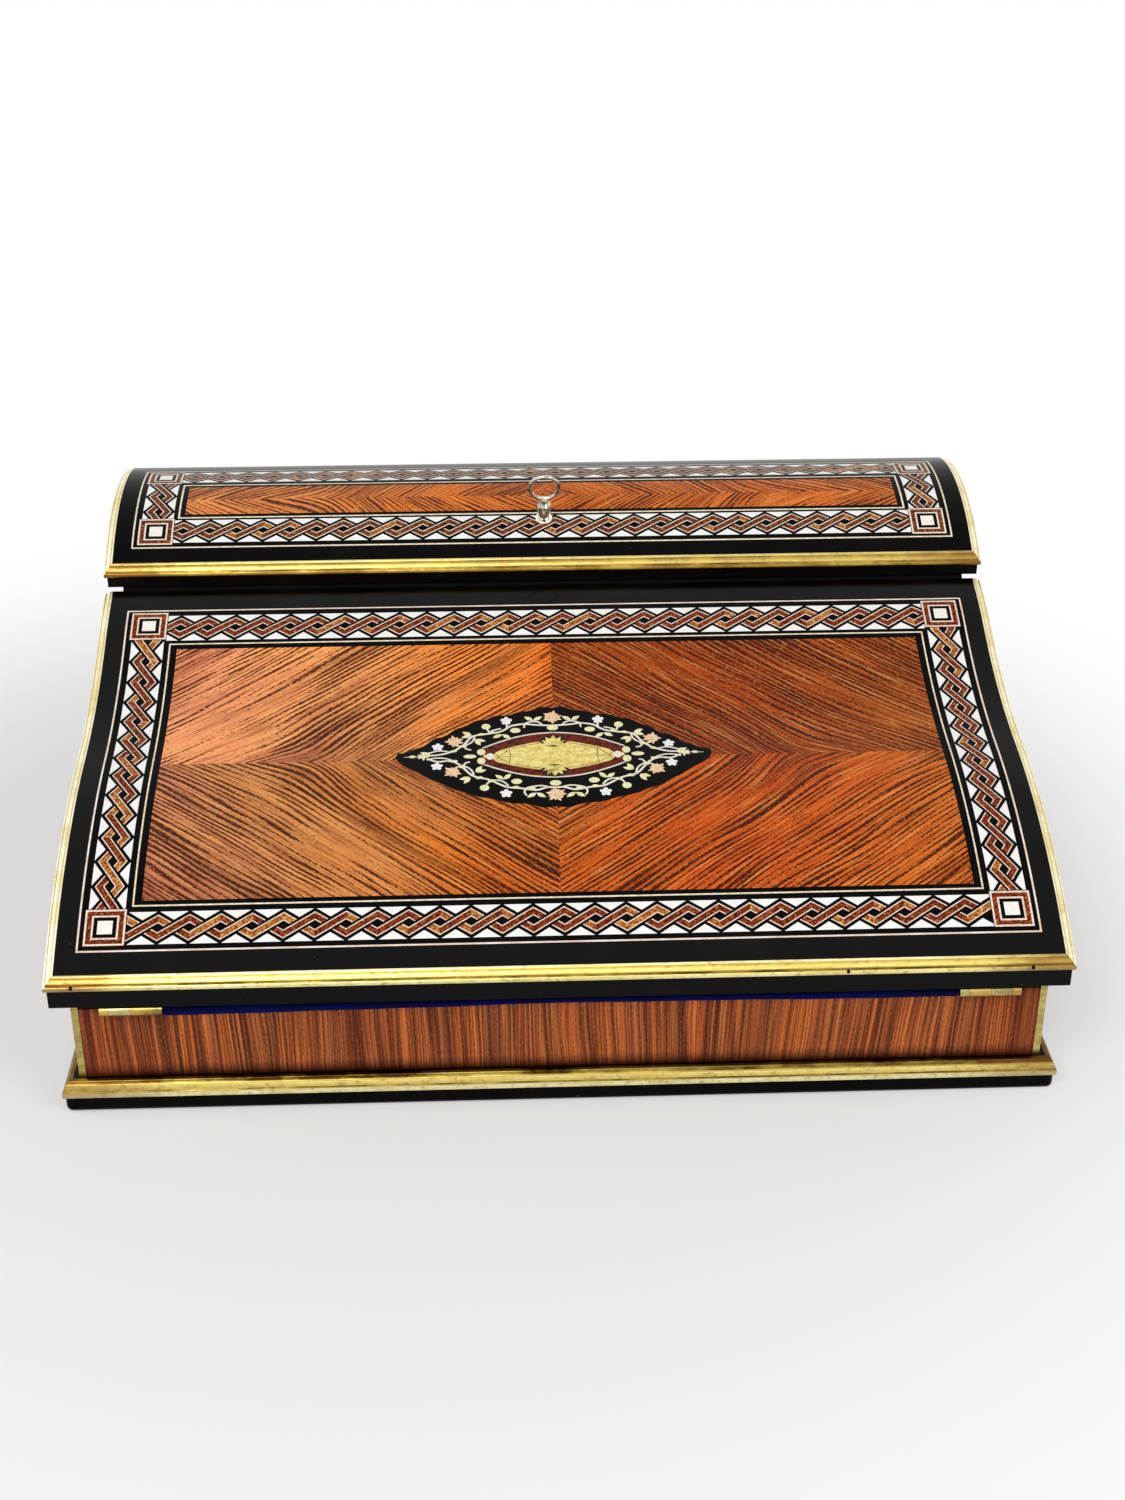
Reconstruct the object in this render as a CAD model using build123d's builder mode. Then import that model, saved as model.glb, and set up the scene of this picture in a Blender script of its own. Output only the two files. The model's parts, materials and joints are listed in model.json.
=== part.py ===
from build123d import *
import math
import os

os.makedirs("parts", exist_ok=True)

# A sloping writing box: an open case on a moulded plinth, an S-curved flap hinged
# along the front edge, and an arched lid hinged along the back edge.
# X runs across the box, the front faces -Y, Z is up from the table. Lengths in mm.

# ---------------------------------------------------------------- driving sizes
# Outer size, over the brass of the flap and the lid. The depth follows from the two curves.
overall_width = 380.0
lid_depth = 85.4

# How far the parts step out beyond the case
end_overhang = 7.0             # flap front and lid back
side_overhang = 7.6            # flap and lid ends
plinth_end_reach = 5.0
plinth_side_reach = 6.1

# Plinth
plinth_height = 13.4
plinth_edge_height = 6.9       # bare ebonised edge below the brass
plinth_frame_width = 22.0
plinth_ledge = 5.0             # rebate that carries the bottom board
bottom_thickness = 6.0
plinth_foot_round = 2.5

# Case walls
wall = 8.0
veneer = 1.0
front_height = 44.0            # top of the front wall, where the flap is hinged
flap_edge_rise = 15.2          # top arris of the flap's front moulding above it
strip_leg = 2.6                # brass angle on each upright corner
strip_rise = 1.2               # how far the side walls stand above the front wall here
lip_thickness = 3.0            # raised inner lip of the front and back walls
divider_thickness = 12.0
divider_front_ledge = 6.0      # part of the divider that lies under the flap
cap_thickness = 3.5            # ebonised cap along the top of each side wall

# Flap: slopes in degrees at lengths along its top, joined by tangent arcs
flap_thickness = 9.0
flap_swell_length = 109.0      # to the flattest place
flap_hollow_length = 71.0      # on to the steepest
flap_tail_length = 30.5        # on to the end
flap_slopes = [34.5, 7.5, 26.0, 14.0]
rail_depth = 14.0              # flat rail under the flap's front and the lid's back

# Lid: one arc
lid_thickness = 6.5
lid_step = 8.41                # front arris of the lid above the flap's end
lid_front_slope = 38.0
lid_radius = 93.8
flap_to_lid = 1.0              # open joint between the flap's end and the lid

# Brass moulding along the edges of the flap and the lid
moulding_width = 3.6
moulding_height = 2.6
moulding_proud = 1.2           # beyond the ebonised edge
plinth_proud = 0.5            # of the plinth's mouldings past its block
plinth_moulding_width = 3.9
plinth_moulding_slope = 2.2    # inward lean of the plinth moulding's top

# Marquetry, laid into the top faces
inlay_thickness = 0.8
border_outer_margin = 11.2     # outer string line, from the brass edge
border_width = 21.8            # from the outer string line to the kingwood panel
flap_front_margin = 13.3
flap_front_border = 21.0
flap_back_margin = 12.2
lid_front_margin = 11.9
lid_front_border = 19.9
lid_back_margin = 15.2
cartouche_shift = 1.9          # its middle behind the panel's
cartouche_half_length = 63.2
cartouche_half_height = 30.4   # in plan

# Clearances
overrun = 20.0                 # cuts and curves run on past the edges they trim
cover_gap = 0.5                # flap and lid above what they close on
drop_in = 0.2                  # loose insert to its housing
running = 0.05                 # pin to knuckle, key to its holes
slide = 0.1                    # bolt to the lock's walls
leaf_gap = 0.2                 # knuckle to what passes over it

# Butt hinges, front and back
hinge_inset = 23.1             # its middle, from the case's side
hinge_barrel = 2.2             # radius
hinge_pin = 0.8                # radius
hinge_leaf = 1.0
hinge_standoff = 3.8           # axis in front of the case's outer face
knuckle_lengths = [3.3, 8.0, 8.0, 3.3]
knuckle_gap = 0.1
screw_head = 1.5
screw_shank = 0.7
screw_length = 4.0
screw_spacing = 12.0

# Writing panel under the flap, and the two bearers that carry it
panel_thickness = 3.0
panel_side_gap = 5.4           # from the case's inner side
panel_front_gap = 2.0          # behind the front wall's lip
panel_front_rise = 6.8         # its top's front edge above the front wall
panel_back_gap = 3.3           # in front of the divider
panel_slope = 20.5
bearer_width = 8.0

# Inside the case
lining = 0.6
lining_height = 28.0
cloth = 0.4
cloth_drop = 2.0               # cloth turned down over the front veneer
shelf_height = 70.0
shelf_thickness = 4.0
partition_gap = 4.5            # below the lid's underside at the divider
partition_thickness = 4.0
well_bay = 47.4                # width kept for each inkwell
tray_height = 22.0
tray_trough = 11.0             # radius of a pen trough
tray_trough_spacing = 28.0
tray_wall = 6.0

# Inkwells
well_side = 44.0
well_height = 34.0
well_glass = 4.0
well_corner = 5.0
well_neck_radius = 13.0
well_neck_height = 6.0
well_mouth_radius = 9.0
cap_radius = 15.0
cap_height = 12.0
cap_dome = 5.0

# Lock under the lid, its bolt, staple, key and escutcheon
key_place = 26.0               # length along the lid
lock_half_length = 22.0
lock_front = 11.0
lock_back = 8.0
lock_top = 5.0                 # depth below the lid's top
lock_bottom = 13.0
lock_wall = 1.0
lock_play = 2.0                # lining cut back round the lock
bolt_offset = 6.4              # in front of the key
bolt_width = 6.0
bolt_thickness = 3.0
bolt_length = 38.0
staple_gap = 2.5
staple_width = 3.0
staple_rim = 2.2
staple_plate = 1.6
staple_plate_width = 26.0
staple_plate_height = 14.0
staple_reach = 14.0            # its arm, down the lid's slope to the divider
staple_bridge = 8.0
staple_drop = 1.0              # plate's top below the divider's
key_shank_radius = 2.3
key_neck_radius = 1.8
key_collar_radius = 3.1
key_collar_low = 5.4
key_collar_high = 8.6
key_tip_depth = 11.5
key_bit_reach = 3.1
key_bit_thickness = 1.6
key_bit_height = 4.0
bow_height = 18.2
bow_radius = 6.35
bow_wire = 0.85
escutcheon_radius = 3.75
escutcheon_rise = 0.8
escutcheon_depth = 1.5

# Brass pins in the flap's front moulding
left_pin_inset = 10.3          # from the left end
right_pin_insets = [85.0, 16.2]
pin_drop = 1.2                 # below the moulding's arris
pin_radius = 0.7
pin_depth = 1.0

# ---------------------------------------------------------------- derived places
flap_bends = [
    (0.0, flap_slopes[0]),
    (flap_swell_length, flap_slopes[1]),
    (flap_swell_length + flap_hollow_length, flap_slopes[2]),
    (flap_swell_length + flap_hollow_length + flap_tail_length, flap_slopes[3]),
]
flap_length = flap_bends[-1][0]
flap_edge_height = front_height + flap_edge_rise
panel_front_height = front_height + panel_front_rise


def walk(bends, start, length, depth=0.0):
    """Point (y, z) at a length along a curve of tangent arcs, a depth below it."""
    y, z = start
    done, slope = bends[0][0], math.radians(bends[0][1])
    for stop, stop_slope in bends[1:]:
        bend = (math.radians(stop_slope) - slope) / (stop - done)
        last = stop == bends[-1][0]
        reach = length if last or length < stop else stop
        new_slope = slope + bend * (reach - done)
        y += (math.sin(new_slope) - math.sin(slope)) / bend
        z -= (math.cos(new_slope) - math.cos(slope)) / bend
        done, slope = reach, new_slope
        if reach == length:
            break
    return y + depth * math.sin(slope), z - depth * math.cos(slope)


flap_run, flap_rise = walk(flap_bends, (0.0, 0.0), flap_length)
overall_depth = flap_run + flap_to_lid + lid_depth
half_width = overall_width / 2
case_half = half_width - side_overhang
front_face = -overall_depth / 2 + end_overhang
back_face = overall_depth / 2 - end_overhang
plinth_half = case_half + plinth_side_reach
plinth_front = front_face - plinth_end_reach
plinth_back = back_face + plinth_end_reach
inner_half = case_half - veneer - wall
inner_front = front_face + veneer + wall
inner_back = back_face - veneer - wall
edge_half = half_width - moulding_proud       # ebonised edge of flap and lid
flap_start = (-overall_depth / 2, flap_edge_height)


def length_at(bends, start, y, depth=0.0):
    """Length along the curve where the layer at a depth passes a given y."""
    low, high = -2 * overrun, bends[-1][0] + 2 * overrun
    for _ in range(60):
        middle = (low + high) / 2
        if walk(bends, start, middle, depth)[0] < y:
            low = middle
        else:
            high = middle
    return low


flap_end = flap_start[0] + flap_run
riser = flap_end + flap_to_lid                # the lid starts here
lid_back_slope = -math.degrees(
    math.asin(lid_depth / lid_radius - math.sin(math.radians(lid_front_slope)))
)
lid_length = lid_radius * math.radians(lid_front_slope - lid_back_slope)
lid_bends = [(0.0, lid_front_slope), (lid_length, lid_back_slope)]
lid_start = (riser, flap_edge_height + flap_rise + lid_step)
FLAP = (flap_bends, flap_start)
LID = (lid_bends, lid_start)
flap_border_far = flap_length - flap_back_margin
lid_border_far = lid_length - lid_back_margin


def height_at(curve, y, depth):
    """Height of the layer at a depth, above a given y."""
    return walk(*curve, length_at(*curve, y, depth), depth)[1]


lid_back_edge = overall_depth / 2 - moulding_proud
front_edge = -overall_depth / 2 + moulding_proud
flap_axis_y = front_face - hinge_standoff
flap_axis_z = front_height + hinge_barrel
flap_rail_bottom = flap_axis_z + hinge_barrel + leaf_gap
lid_rail_bottom = height_at(LID, lid_back_edge, lid_thickness)
lid_axis_y = back_face + hinge_standoff
lid_axis_z = lid_rail_bottom - leaf_gap - hinge_barrel
back_height = lid_axis_z - hinge_barrel
hinge_centre = case_half - hinge_inset
panel_half_width = inner_half - panel_side_gap
partition_place = inner_half - well_bay - partition_thickness
divider_front = riser - divider_front_ledge
divider_back = divider_front + divider_thickness


def arcs(curve, low, high, depth):
    """Arcs of one layer of a curve, inside a BuildLine."""
    stops = [low] + [s for s, _ in curve[0][1:-1] if low < s < high] + [high]
    for a, b in zip(stops, stops[1:]):
        points = [walk(*curve, s, depth) for s in (a, (a + b) / 2, b)]
        ThreePointArc(*points)


def layer(curve, low, high, top, bottom, x=0.0):
    """Face across X = x between two depths of a curve."""
    with BuildSketch(Plane.YZ.offset(x)) as face:
        with BuildLine():
            arcs(curve, low, high, top)
            arcs(curve, low, high, bottom)
            Line(walk(*curve, low, top), walk(*curve, low, bottom))
            Line(walk(*curve, high, top), walk(*curve, high, bottom))
        make_face()
    return face.sketch


def under(curve, y_low, y_high, depth, floor, x=0.0):
    """Face across X = x between a floor and the layer at a depth, from y to y."""
    low = length_at(*curve, y_low, depth)
    high = length_at(*curve, y_high, depth)
    with BuildSketch(Plane.YZ.offset(x)) as face:
        with BuildLine():
            arcs(curve, low, high, depth)
            Polyline(
                walk(*curve, low, depth), (y_low, floor),
                (y_high, floor), walk(*curve, high, depth),
            )
        make_face()
    return face.sketch


def block(x0, x1, y0, y1, z0, z1):
    """A plain block between two corners, added to the part being built."""
    with Locations(((x0 + x1) / 2, (y0 + y1) / 2, (z0 + z1) / 2)):
        return Box(x1 - x0, y1 - y0, z1 - z0)


def cut(x0, x1, y0, y1, z0, z1):
    """A plain block between two corners, taken out of the part being built."""
    with Locations(((x0 + x1) / 2, (y0 + y1) / 2, (z0 + z1) / 2)):
        return Box(x1 - x0, y1 - y0, z1 - z0, mode=Mode.SUBTRACT)


def save(piece, name):
    piece.part.label = name
    export_step(piece.part, f"parts/{name}.step")


# Lock plane: x across, y up the lid, z out of it, on the lid's top at the key
key_slope = lid_front_slope - math.degrees(key_place / lid_radius)
key_point = walk(*LID, key_place)
key_up = (0, -math.sin(math.radians(key_slope)), math.cos(math.radians(key_slope)))
lock_plane = Plane(origin=(0, *key_point), x_dir=(1, 0, 0), z_dir=key_up)
key_hole = key_shank_radius + running


def lock_block(x0, x1, y0, y1, z0, z1, mode=Mode.ADD):
    """Block in the lock plane, z measured outwards from the lid's top."""
    with BuildSketch(lock_plane.offset(z0)) as outline:
        with Locations(((x0 + x1) / 2, (y0 + y1) / 2)):
            Rectangle(x1 - x0, y1 - y0)
    extrude(outline.sketch, amount=z1 - z0, mode=mode)


def lock_round(radius, z0, z1, mode=Mode.ADD):
    """Cylinder on the key's axis."""
    with BuildSketch(lock_plane.offset(z0)) as outline:
        Circle(radius)
    extrude(outline.sketch, amount=z1 - z0, mode=mode)


def keyhole(z0, z1):
    """Round hole for the key's shank, with the slot its bit enters by."""
    lock_round(key_hole, z0, z1, mode=Mode.SUBTRACT)
    play = drop_in / 2
    lock_block(-key_bit_thickness / 2 - play, key_bit_thickness / 2 + play,
               -key_bit_reach - play, 0, z0, z1, mode=Mode.SUBTRACT)


def disc(plane, radius):
    """Round face on a plane."""
    with BuildSketch(plane) as outline:
        Circle(radius)
    return outline.sketch


# Knuckles alternate between the two leaves, from one end of each hinge to the other
hinge_length = sum(knuckle_lengths) + knuckle_gap * (len(knuckle_lengths) - 1)
front_leaf_end = inner_front - lip_thickness - drop_in
back_leaf_end = inner_back + lip_thickness + drop_in
front_seat = front_face + veneer + (wall - lip_thickness) / 2
back_seat = back_face - veneer - (wall - lip_thickness) / 2


def screw_points(seat):
    """Centres of the four screws that hold a pair of leaves, in plan."""
    return [
        (side * hinge_centre + d * screw_spacing / 2, seat)
        for side in (-1, 1) for d in (-1, 1)
    ]


def pilot_holes(seat, level, reach):
    """Screw holes in the wood, up or down from a level."""
    for x, y in screw_points(seat):
        with Locations((x, y, level + reach / 2)):
            Cylinder(screw_shank + running, abs(reach), mode=Mode.SUBTRACT)


SIDES = (("left", -1), ("right", 1))


def span(side, inner, outer):
    """X range from inner to outer half width on one side, low end first."""
    return (inner, outer) if side > 0 else (-outer, -inner)


# ---------------------------------------------------------------- plinth
block_half = plinth_half - plinth_proud
block_front = plinth_front + plinth_proud
block_back = plinth_back - plinth_proud
ring_half = block_half - plinth_frame_width
ring_front = block_front + plinth_frame_width
ring_back = block_back - plinth_frame_width
rebate = plinth_moulding_width - plinth_proud

with BuildPart() as plinth_frame:
    block(-block_half, block_half, block_front, block_back, 0, plinth_height)
    fillet(
        plinth_frame.edges().filter_by(Axis.Z) + plinth_frame.edges().group_by(Axis.Z)[0],
        radius=plinth_foot_round,
    )
    with BuildSketch(Plane.XY.offset(plinth_edge_height)):
        Rectangle(overall_width, overall_depth)
        with Locations((0, (block_front + block_back) / 2)):
            Rectangle(
                2 * (block_half - rebate), block_back - block_front - 2 * rebate,
                mode=Mode.SUBTRACT,
            )
    extrude(amount=plinth_height, mode=Mode.SUBTRACT)
    cut(-ring_half, ring_half, ring_front, ring_back, 0, plinth_height)
    cut(
        -ring_half - plinth_ledge, ring_half + plinth_ledge,
        ring_front - plinth_ledge, ring_back + plinth_ledge,
        plinth_height - bottom_thickness, plinth_height,
    )
save(plinth_frame, "plinth_frame")

with BuildPart() as bottom_board:
    fit = plinth_ledge - drop_in
    block(
        -ring_half - fit, ring_half + fit, ring_front - fit, ring_back + fit,
        plinth_height - bottom_thickness, plinth_height,
    )
save(bottom_board, "bottom_board")


def mitre(piece, x_corner, y_corner, keep_end):
    """Cut a moulding at 45 degrees in plan, at a corner of the frame it belongs to."""
    across = 1 if x_corner > 0 else -1
    along = 1 if y_corner > 0 else -1
    normal = (across, -along, 0) if keep_end else (-across, along, 0)
    split(bisect_by=Plane(origin=(x_corner, y_corner, 0), z_dir=normal), keep=Keep.BOTTOM)


# Brass moulding round the plinth: a low bead below a leaning face
def plinth_section(plane):
    """Section of the plinth moulding, with its outer face at the plane's origin."""
    with BuildSketch(plane) as section:
        with BuildLine():
            bead = plinth_edge_height + 1.6
            Polyline(
                (0, plinth_edge_height), (0, bead), (plinth_moulding_slope, plinth_height),
                (plinth_moulding_width, plinth_height),
                (plinth_moulding_width, plinth_edge_height), close=True,
            )
        make_face()
    return section.sketch


for name, y, inward in (("front", plinth_front, 1), ("back", plinth_back, -1)):
    with BuildPart() as moulding:
        outer = Plane(origin=(0, y, 0), x_dir=(0, inward, 0), z_dir=(inward, 0, 0))
        extrude(plinth_section(outer), amount=plinth_half, both=True)
        for x in (-plinth_half, plinth_half):
            mitre(moulding, x, y, keep_end=True)
    save(moulding, f"plinth_moulding_{name}")

for name, side in SIDES:
    with BuildPart() as moulding:
        outer = Plane(
            origin=(side * plinth_half, 0, 0), x_dir=(-side, 0, 0), z_dir=(0, side, 0)
        )
        extrude(plinth_section(outer), amount=plinth_back - plinth_front, both=True)
        for y in (plinth_front, plinth_back):
            mitre(moulding, side * plinth_half, y, keep_end=False)
    save(moulding, f"plinth_moulding_{name}")

# ---------------------------------------------------------------- case walls
with BuildPart() as case_front:
    block(
        -inner_half, inner_half, front_face + veneer, inner_front,
        plinth_height, flap_rail_bottom - cover_gap,
    )
    cut(
        -inner_half, inner_half, front_face + veneer, inner_front - lip_thickness,
        front_height, flap_rail_bottom,
    )
    pilot_holes(front_seat, front_height, -screw_length)
save(case_front, "case_front")

with BuildPart() as case_back:
    block(
        -inner_half, inner_half, inner_back, back_face - veneer,
        plinth_height, lid_rail_bottom - cover_gap,
    )
    cut(
        -inner_half, inner_half, inner_back + lip_thickness, back_face - veneer,
        back_height, lid_rail_bottom,
    )
    pilot_holes(back_seat, back_height, -screw_length)
save(case_back, "case_back")

# Side wall outline: along the front height, then parallel to the flap, then to the lid
cap_depth_flap = flap_thickness + cover_gap + cap_thickness
cap_depth_lid = lid_thickness + cover_gap + cap_thickness
cap_start = inner_front                       # the wall reaches the flap's curve here
seat_low = front_height + strip_rise
seat_tan = (height_at(FLAP, cap_start, cap_depth_flap) - seat_low) / (cap_start - front_face)


def seat_height(y):
    """Top of a side wall in front of the flap's curve, under the cap's thick toe."""
    return seat_low + (y - front_face) * seat_tan


def wall_face(y_low, y_high, x):
    """Outline of a side wall or its veneer, across X = x."""
    step = riser + cap_thickness
    low = length_at(*FLAP, cap_start, cap_depth_flap)
    mid = length_at(*FLAP, step, cap_depth_flap)
    lid_low = length_at(*LID, step, cap_depth_lid)
    lid_high = length_at(*LID, y_high, cap_depth_lid)
    with BuildSketch(Plane.YZ.offset(x)) as face:
        with BuildLine():
            arcs(FLAP, low, mid, cap_depth_flap)
            arcs(LID, lid_low, lid_high, cap_depth_lid)
            Line(walk(*FLAP, mid, cap_depth_flap), walk(*LID, lid_low, cap_depth_lid))
            Polyline(
                walk(*LID, lid_high, cap_depth_lid), (y_high, plinth_height),
                (y_low, plinth_height), (y_low, seat_height(y_low)),
                walk(*FLAP, low, cap_depth_flap),
            )
        make_face()
    return face.sketch


for name, side in SIDES:
    low, high = span(side, inner_half, case_half - veneer)
    with BuildPart() as case_side:
        extrude(wall_face(front_face + veneer, back_face - veneer, low), amount=high - low)
    save(case_side, f"case_{name}")

    low, high = span(side, case_half - veneer, case_half)
    with BuildPart() as side_veneer:
        extrude(
            wall_face(front_face + strip_leg, back_face - strip_leg, low), amount=high - low
        )
    save(side_veneer, f"veneer_{name}")

    # The cap closes the gap between the wall and the flap, steps up, and follows the lid
    low, high = span(side, inner_half, case_half)
    top_flap = flap_thickness + cover_gap
    top_lid = lid_thickness + cover_gap
    step = riser + cap_thickness
    with BuildPart() as cap:
        with BuildSketch(Plane.YZ.offset(low)) as cap_face:
            with BuildLine():
                a = length_at(*FLAP, front_face, top_flap)
                b = length_at(*FLAP, riser, top_flap)
                c = length_at(*LID, riser, top_lid)
                d = length_at(*LID, back_face, top_lid)
                e = length_at(*LID, back_face, cap_depth_lid)
                f = length_at(*LID, step, cap_depth_lid)
                g = length_at(*FLAP, step, cap_depth_flap)
                h = length_at(*FLAP, cap_start, cap_depth_flap)
                arcs(FLAP, a, b, top_flap)
                Line(walk(*FLAP, b, top_flap), walk(*LID, c, top_lid))
                arcs(LID, c, d, top_lid)
                Line(walk(*LID, d, top_lid), walk(*LID, e, cap_depth_lid))
                arcs(LID, f, e, cap_depth_lid)
                Line(walk(*LID, f, cap_depth_lid), walk(*FLAP, g, cap_depth_flap))
                arcs(FLAP, h, g, cap_depth_flap)
                Polyline(
                    walk(*FLAP, h, cap_depth_flap), (front_face, seat_low),
                    walk(*FLAP, a, top_flap),
                )
            make_face()
        extrude(cap_face.sketch, amount=high - low)
    save(cap, f"case_cap_{name}")

with BuildPart() as veneer_front:
    block(
        -case_half + strip_leg, case_half - strip_leg, front_face, front_face + veneer,
        plinth_height, front_height,
    )
save(veneer_front, "veneer_front")

with BuildPart() as veneer_back:
    block(
        -case_half + strip_leg, case_half - strip_leg, back_face - veneer, back_face,
        plinth_height, back_height,
    )
save(veneer_back, "veneer_back")


def corner_angle(outer_y, inward, top):
    """Brass angle on both upright corners of one face."""
    legs = sorted((outer_y, outer_y + inward * veneer))
    sides = sorted((outer_y, outer_y + inward * strip_leg))
    for side in (-1, 1):
        low, high = span(side, case_half - strip_leg, case_half)
        block(low, high, *legs, plinth_height, top)
        low, high = span(side, case_half - veneer, case_half)
        block(low, high, *sides, plinth_height, top)


back_strip_top = height_at(LID, back_face, cap_depth_lid)
with BuildPart() as corner_strips:
    corner_angle(front_face, 1, seat_height(front_face + strip_leg))
    with BuildSketch(Plane.YZ.offset(-half_width)):
        with BuildLine():
            behind = cap_start
            Polyline(
                (front_edge, seat_height(front_edge)), (behind, seat_height(behind)),
                (front_edge, seat_height(behind)), close=True,
            )
        make_face()
    extrude(amount=overall_width, mode=Mode.SUBTRACT)
    corner_angle(back_face, -1, back_strip_top)
save(corner_strips, "corner_strips")

# The divider parts the ink compartment from the paper well, which runs on below it
with BuildPart() as divider:
    foot = shelf_height - shelf_thickness
    for curve, y_low, y_high, depth in (
        (FLAP, divider_front, riser, flap_thickness + cover_gap),
        (LID, riser, divider_back, lid_thickness + cover_gap),
    ):
        extrude(under(curve, y_low, y_high, depth, foot, -inner_half), amount=2 * inner_half)
save(divider, "divider")

# ---------------------------------------------------------------- flap
panel_front = inner_front + panel_front_gap
panel_back = divider_front - panel_back_gap
panel_tan = math.tan(math.radians(panel_slope))


def edge_rebate(curve, low, high):
    """Cut the moulding's seat along both ends of a flap or lid."""
    for side in (-1, 1):
        x0, x1 = span(side, half_width - moulding_width, half_width)
        extrude(layer(curve, low, high, -1, moulding_height, x0), amount=x1 - x0,
                mode=Mode.SUBTRACT)


def marquetry(curve, near, far, x_half):
    """Sheet of veneer from near to far along a curve, flush with its top."""
    return layer(curve, near, far, 0, inlay_thickness, -x_half), 2 * x_half


with BuildPart() as flap_board:
    extrude(layer(FLAP, -overrun, flap_length + overrun / 2, 0, flap_thickness, -edge_half),
            amount=2 * edge_half)
    block(
        -inner_half + cover_gap, inner_half - cover_gap, front_edge, front_edge + rail_depth,
        flap_rail_bottom, flap_edge_height,
    )
    rail_top = length_at(*FLAP, front_edge + rail_depth + overrun / 10, flap_thickness)
    extrude(layer(FLAP, -overrun, rail_top, -overrun, 0, -half_width), amount=2 * half_width,
            mode=Mode.SUBTRACT)
    split(bisect_by=Plane(origin=(0, front_edge, 0), z_dir=(0, 1, 0)), keep=Keep.TOP)
    split(bisect_by=Plane(origin=(0, flap_end, 0), z_dir=(0, 1, 0)), keep=Keep.BOTTOM)
    edge_rebate(FLAP, -overrun, flap_length + overrun / 2)
    # front rebate, as wide as the moulding
    extrude(layer(FLAP, -overrun, moulding_width / math.cos(math.radians(flap_bends[0][1])), -1,
                  moulding_height, -half_width), amount=2 * half_width, mode=Mode.SUBTRACT)
    # bed for the marquetry
    border_half = half_width - border_outer_margin
    bed, width = marquetry(FLAP, flap_front_margin, flap_border_far, border_half)
    extrude(bed, amount=width, mode=Mode.SUBTRACT)
    pilot_holes(front_seat, flap_rail_bottom, screw_length)
save(flap_board, "flap_board")

panel_half = border_half - border_width
flap_panel_near = flap_front_margin + flap_front_border
flap_panel_far = flap_border_far - border_width

with BuildPart() as flap_border:
    bed, width = marquetry(FLAP, flap_front_margin, flap_border_far, border_half)
    extrude(bed, amount=width)
    bed, width = marquetry(FLAP, flap_panel_near, flap_panel_far, panel_half)
    extrude(bed, amount=width, mode=Mode.SUBTRACT)
save(flap_border, "flap_border")

cartouche_middle = (flap_panel_near + flap_panel_far) / 2 + cartouche_shift
cartouche_y = walk(*FLAP, cartouche_middle)[0]


def lens(half_length, half_height):
    """Pointed oval in plan, centred on the cartouche."""
    with BuildSketch(Plane.XY.offset(flap_edge_height)) as outline:
        with BuildLine():
            left, right = (-half_length, cartouche_y), (half_length, cartouche_y)
            ThreePointArc(left, (0, cartouche_y + half_height), right)
            ThreePointArc(left, (0, cartouche_y - half_height), right)
        make_face()
    return outline.sketch


with BuildPart() as flap_veneer:
    bed, width = marquetry(FLAP, flap_panel_near, flap_panel_far, panel_half)
    extrude(bed, amount=width)
    extrude(lens(cartouche_half_length, cartouche_half_height), amount=overall_depth,
            mode=Mode.SUBTRACT)
save(flap_veneer, "flap_veneer")

with BuildPart() as flap_cartouche:
    bed, width = marquetry(FLAP, flap_panel_near, flap_panel_far, panel_half)
    extrude(bed, amount=width)
    extrude(lens(cartouche_half_length, cartouche_half_height), amount=overall_depth,
            mode=Mode.INTERSECT)
save(flap_cartouche, "flap_cartouche")


def end_moulding(curve, side, low, high, y_low, y_high):
    """Brass moulding along one end of a flap or lid."""
    x0, x1 = span(side, half_width - moulding_width, half_width)
    extrude(layer(curve, low, high, 0, moulding_height, x0), amount=x1 - x0)
    split(bisect_by=Plane(origin=(0, y_low, 0), z_dir=(0, 1, 0)), keep=Keep.TOP)
    split(bisect_by=Plane(origin=(0, y_high, 0), z_dir=(0, 1, 0)), keep=Keep.BOTTOM)


front_run = moulding_width / math.cos(math.radians(flap_bends[0][1]))
for name, side in SIDES:
    with BuildPart() as moulding:
        end_moulding(FLAP, side, -overrun, flap_length + overrun / 2, -overall_depth / 2, flap_end)
        mitre(moulding, side * half_width, -overall_depth / 2, keep_end=False)
    save(moulding, f"flap_moulding_{name}")

pin_places = [left_pin_inset - half_width] + [half_width - inset for inset in right_pin_insets]
pin_height = flap_edge_height - pin_drop

with BuildPart() as flap_moulding_front:
    extrude(layer(FLAP, -overrun, front_run, 0, moulding_height, -half_width), amount=overall_width)
    split(bisect_by=Plane(origin=(0, -overall_depth / 2, 0), z_dir=(0, 1, 0)), keep=Keep.TOP)
    for x in (-half_width, half_width):
        mitre(flap_moulding_front, x, -overall_depth / 2, keep_end=True)
    for x in pin_places:
        with Locations(Plane(origin=(x, -overall_depth / 2, pin_height),
                             z_dir=(0, -1, 0))):
            Hole(radius=pin_radius, depth=pin_depth)
save(flap_moulding_front, "flap_moulding_front")

with BuildPart() as moulding_pins:
    for x in pin_places:
        with BuildSketch(Plane(origin=(x, -overall_depth / 2 + pin_depth, pin_height),
                               z_dir=(0, -1, 0))):
            Circle(pin_radius - running / 2)
        extrude(amount=pin_depth)
save(moulding_pins, "moulding_pins")

# Flat writing panel, with the two bearers that fill the space up to the curved board
with BuildPart() as writing_panel:
    with BuildSketch(Plane.YZ.offset(-panel_half_width)):
        with BuildLine():
            rise = (panel_back - panel_front) * panel_tan
            Polyline(
                (panel_front, panel_front_height),
                (panel_back, panel_front_height + rise),
                (panel_back, panel_front_height + rise - panel_thickness),
                (panel_front, panel_front_height - panel_thickness),
                close=True,
            )
        make_face()
    extrude(amount=2 * panel_half_width)
save(writing_panel, "flap_writing_panel")

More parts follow.
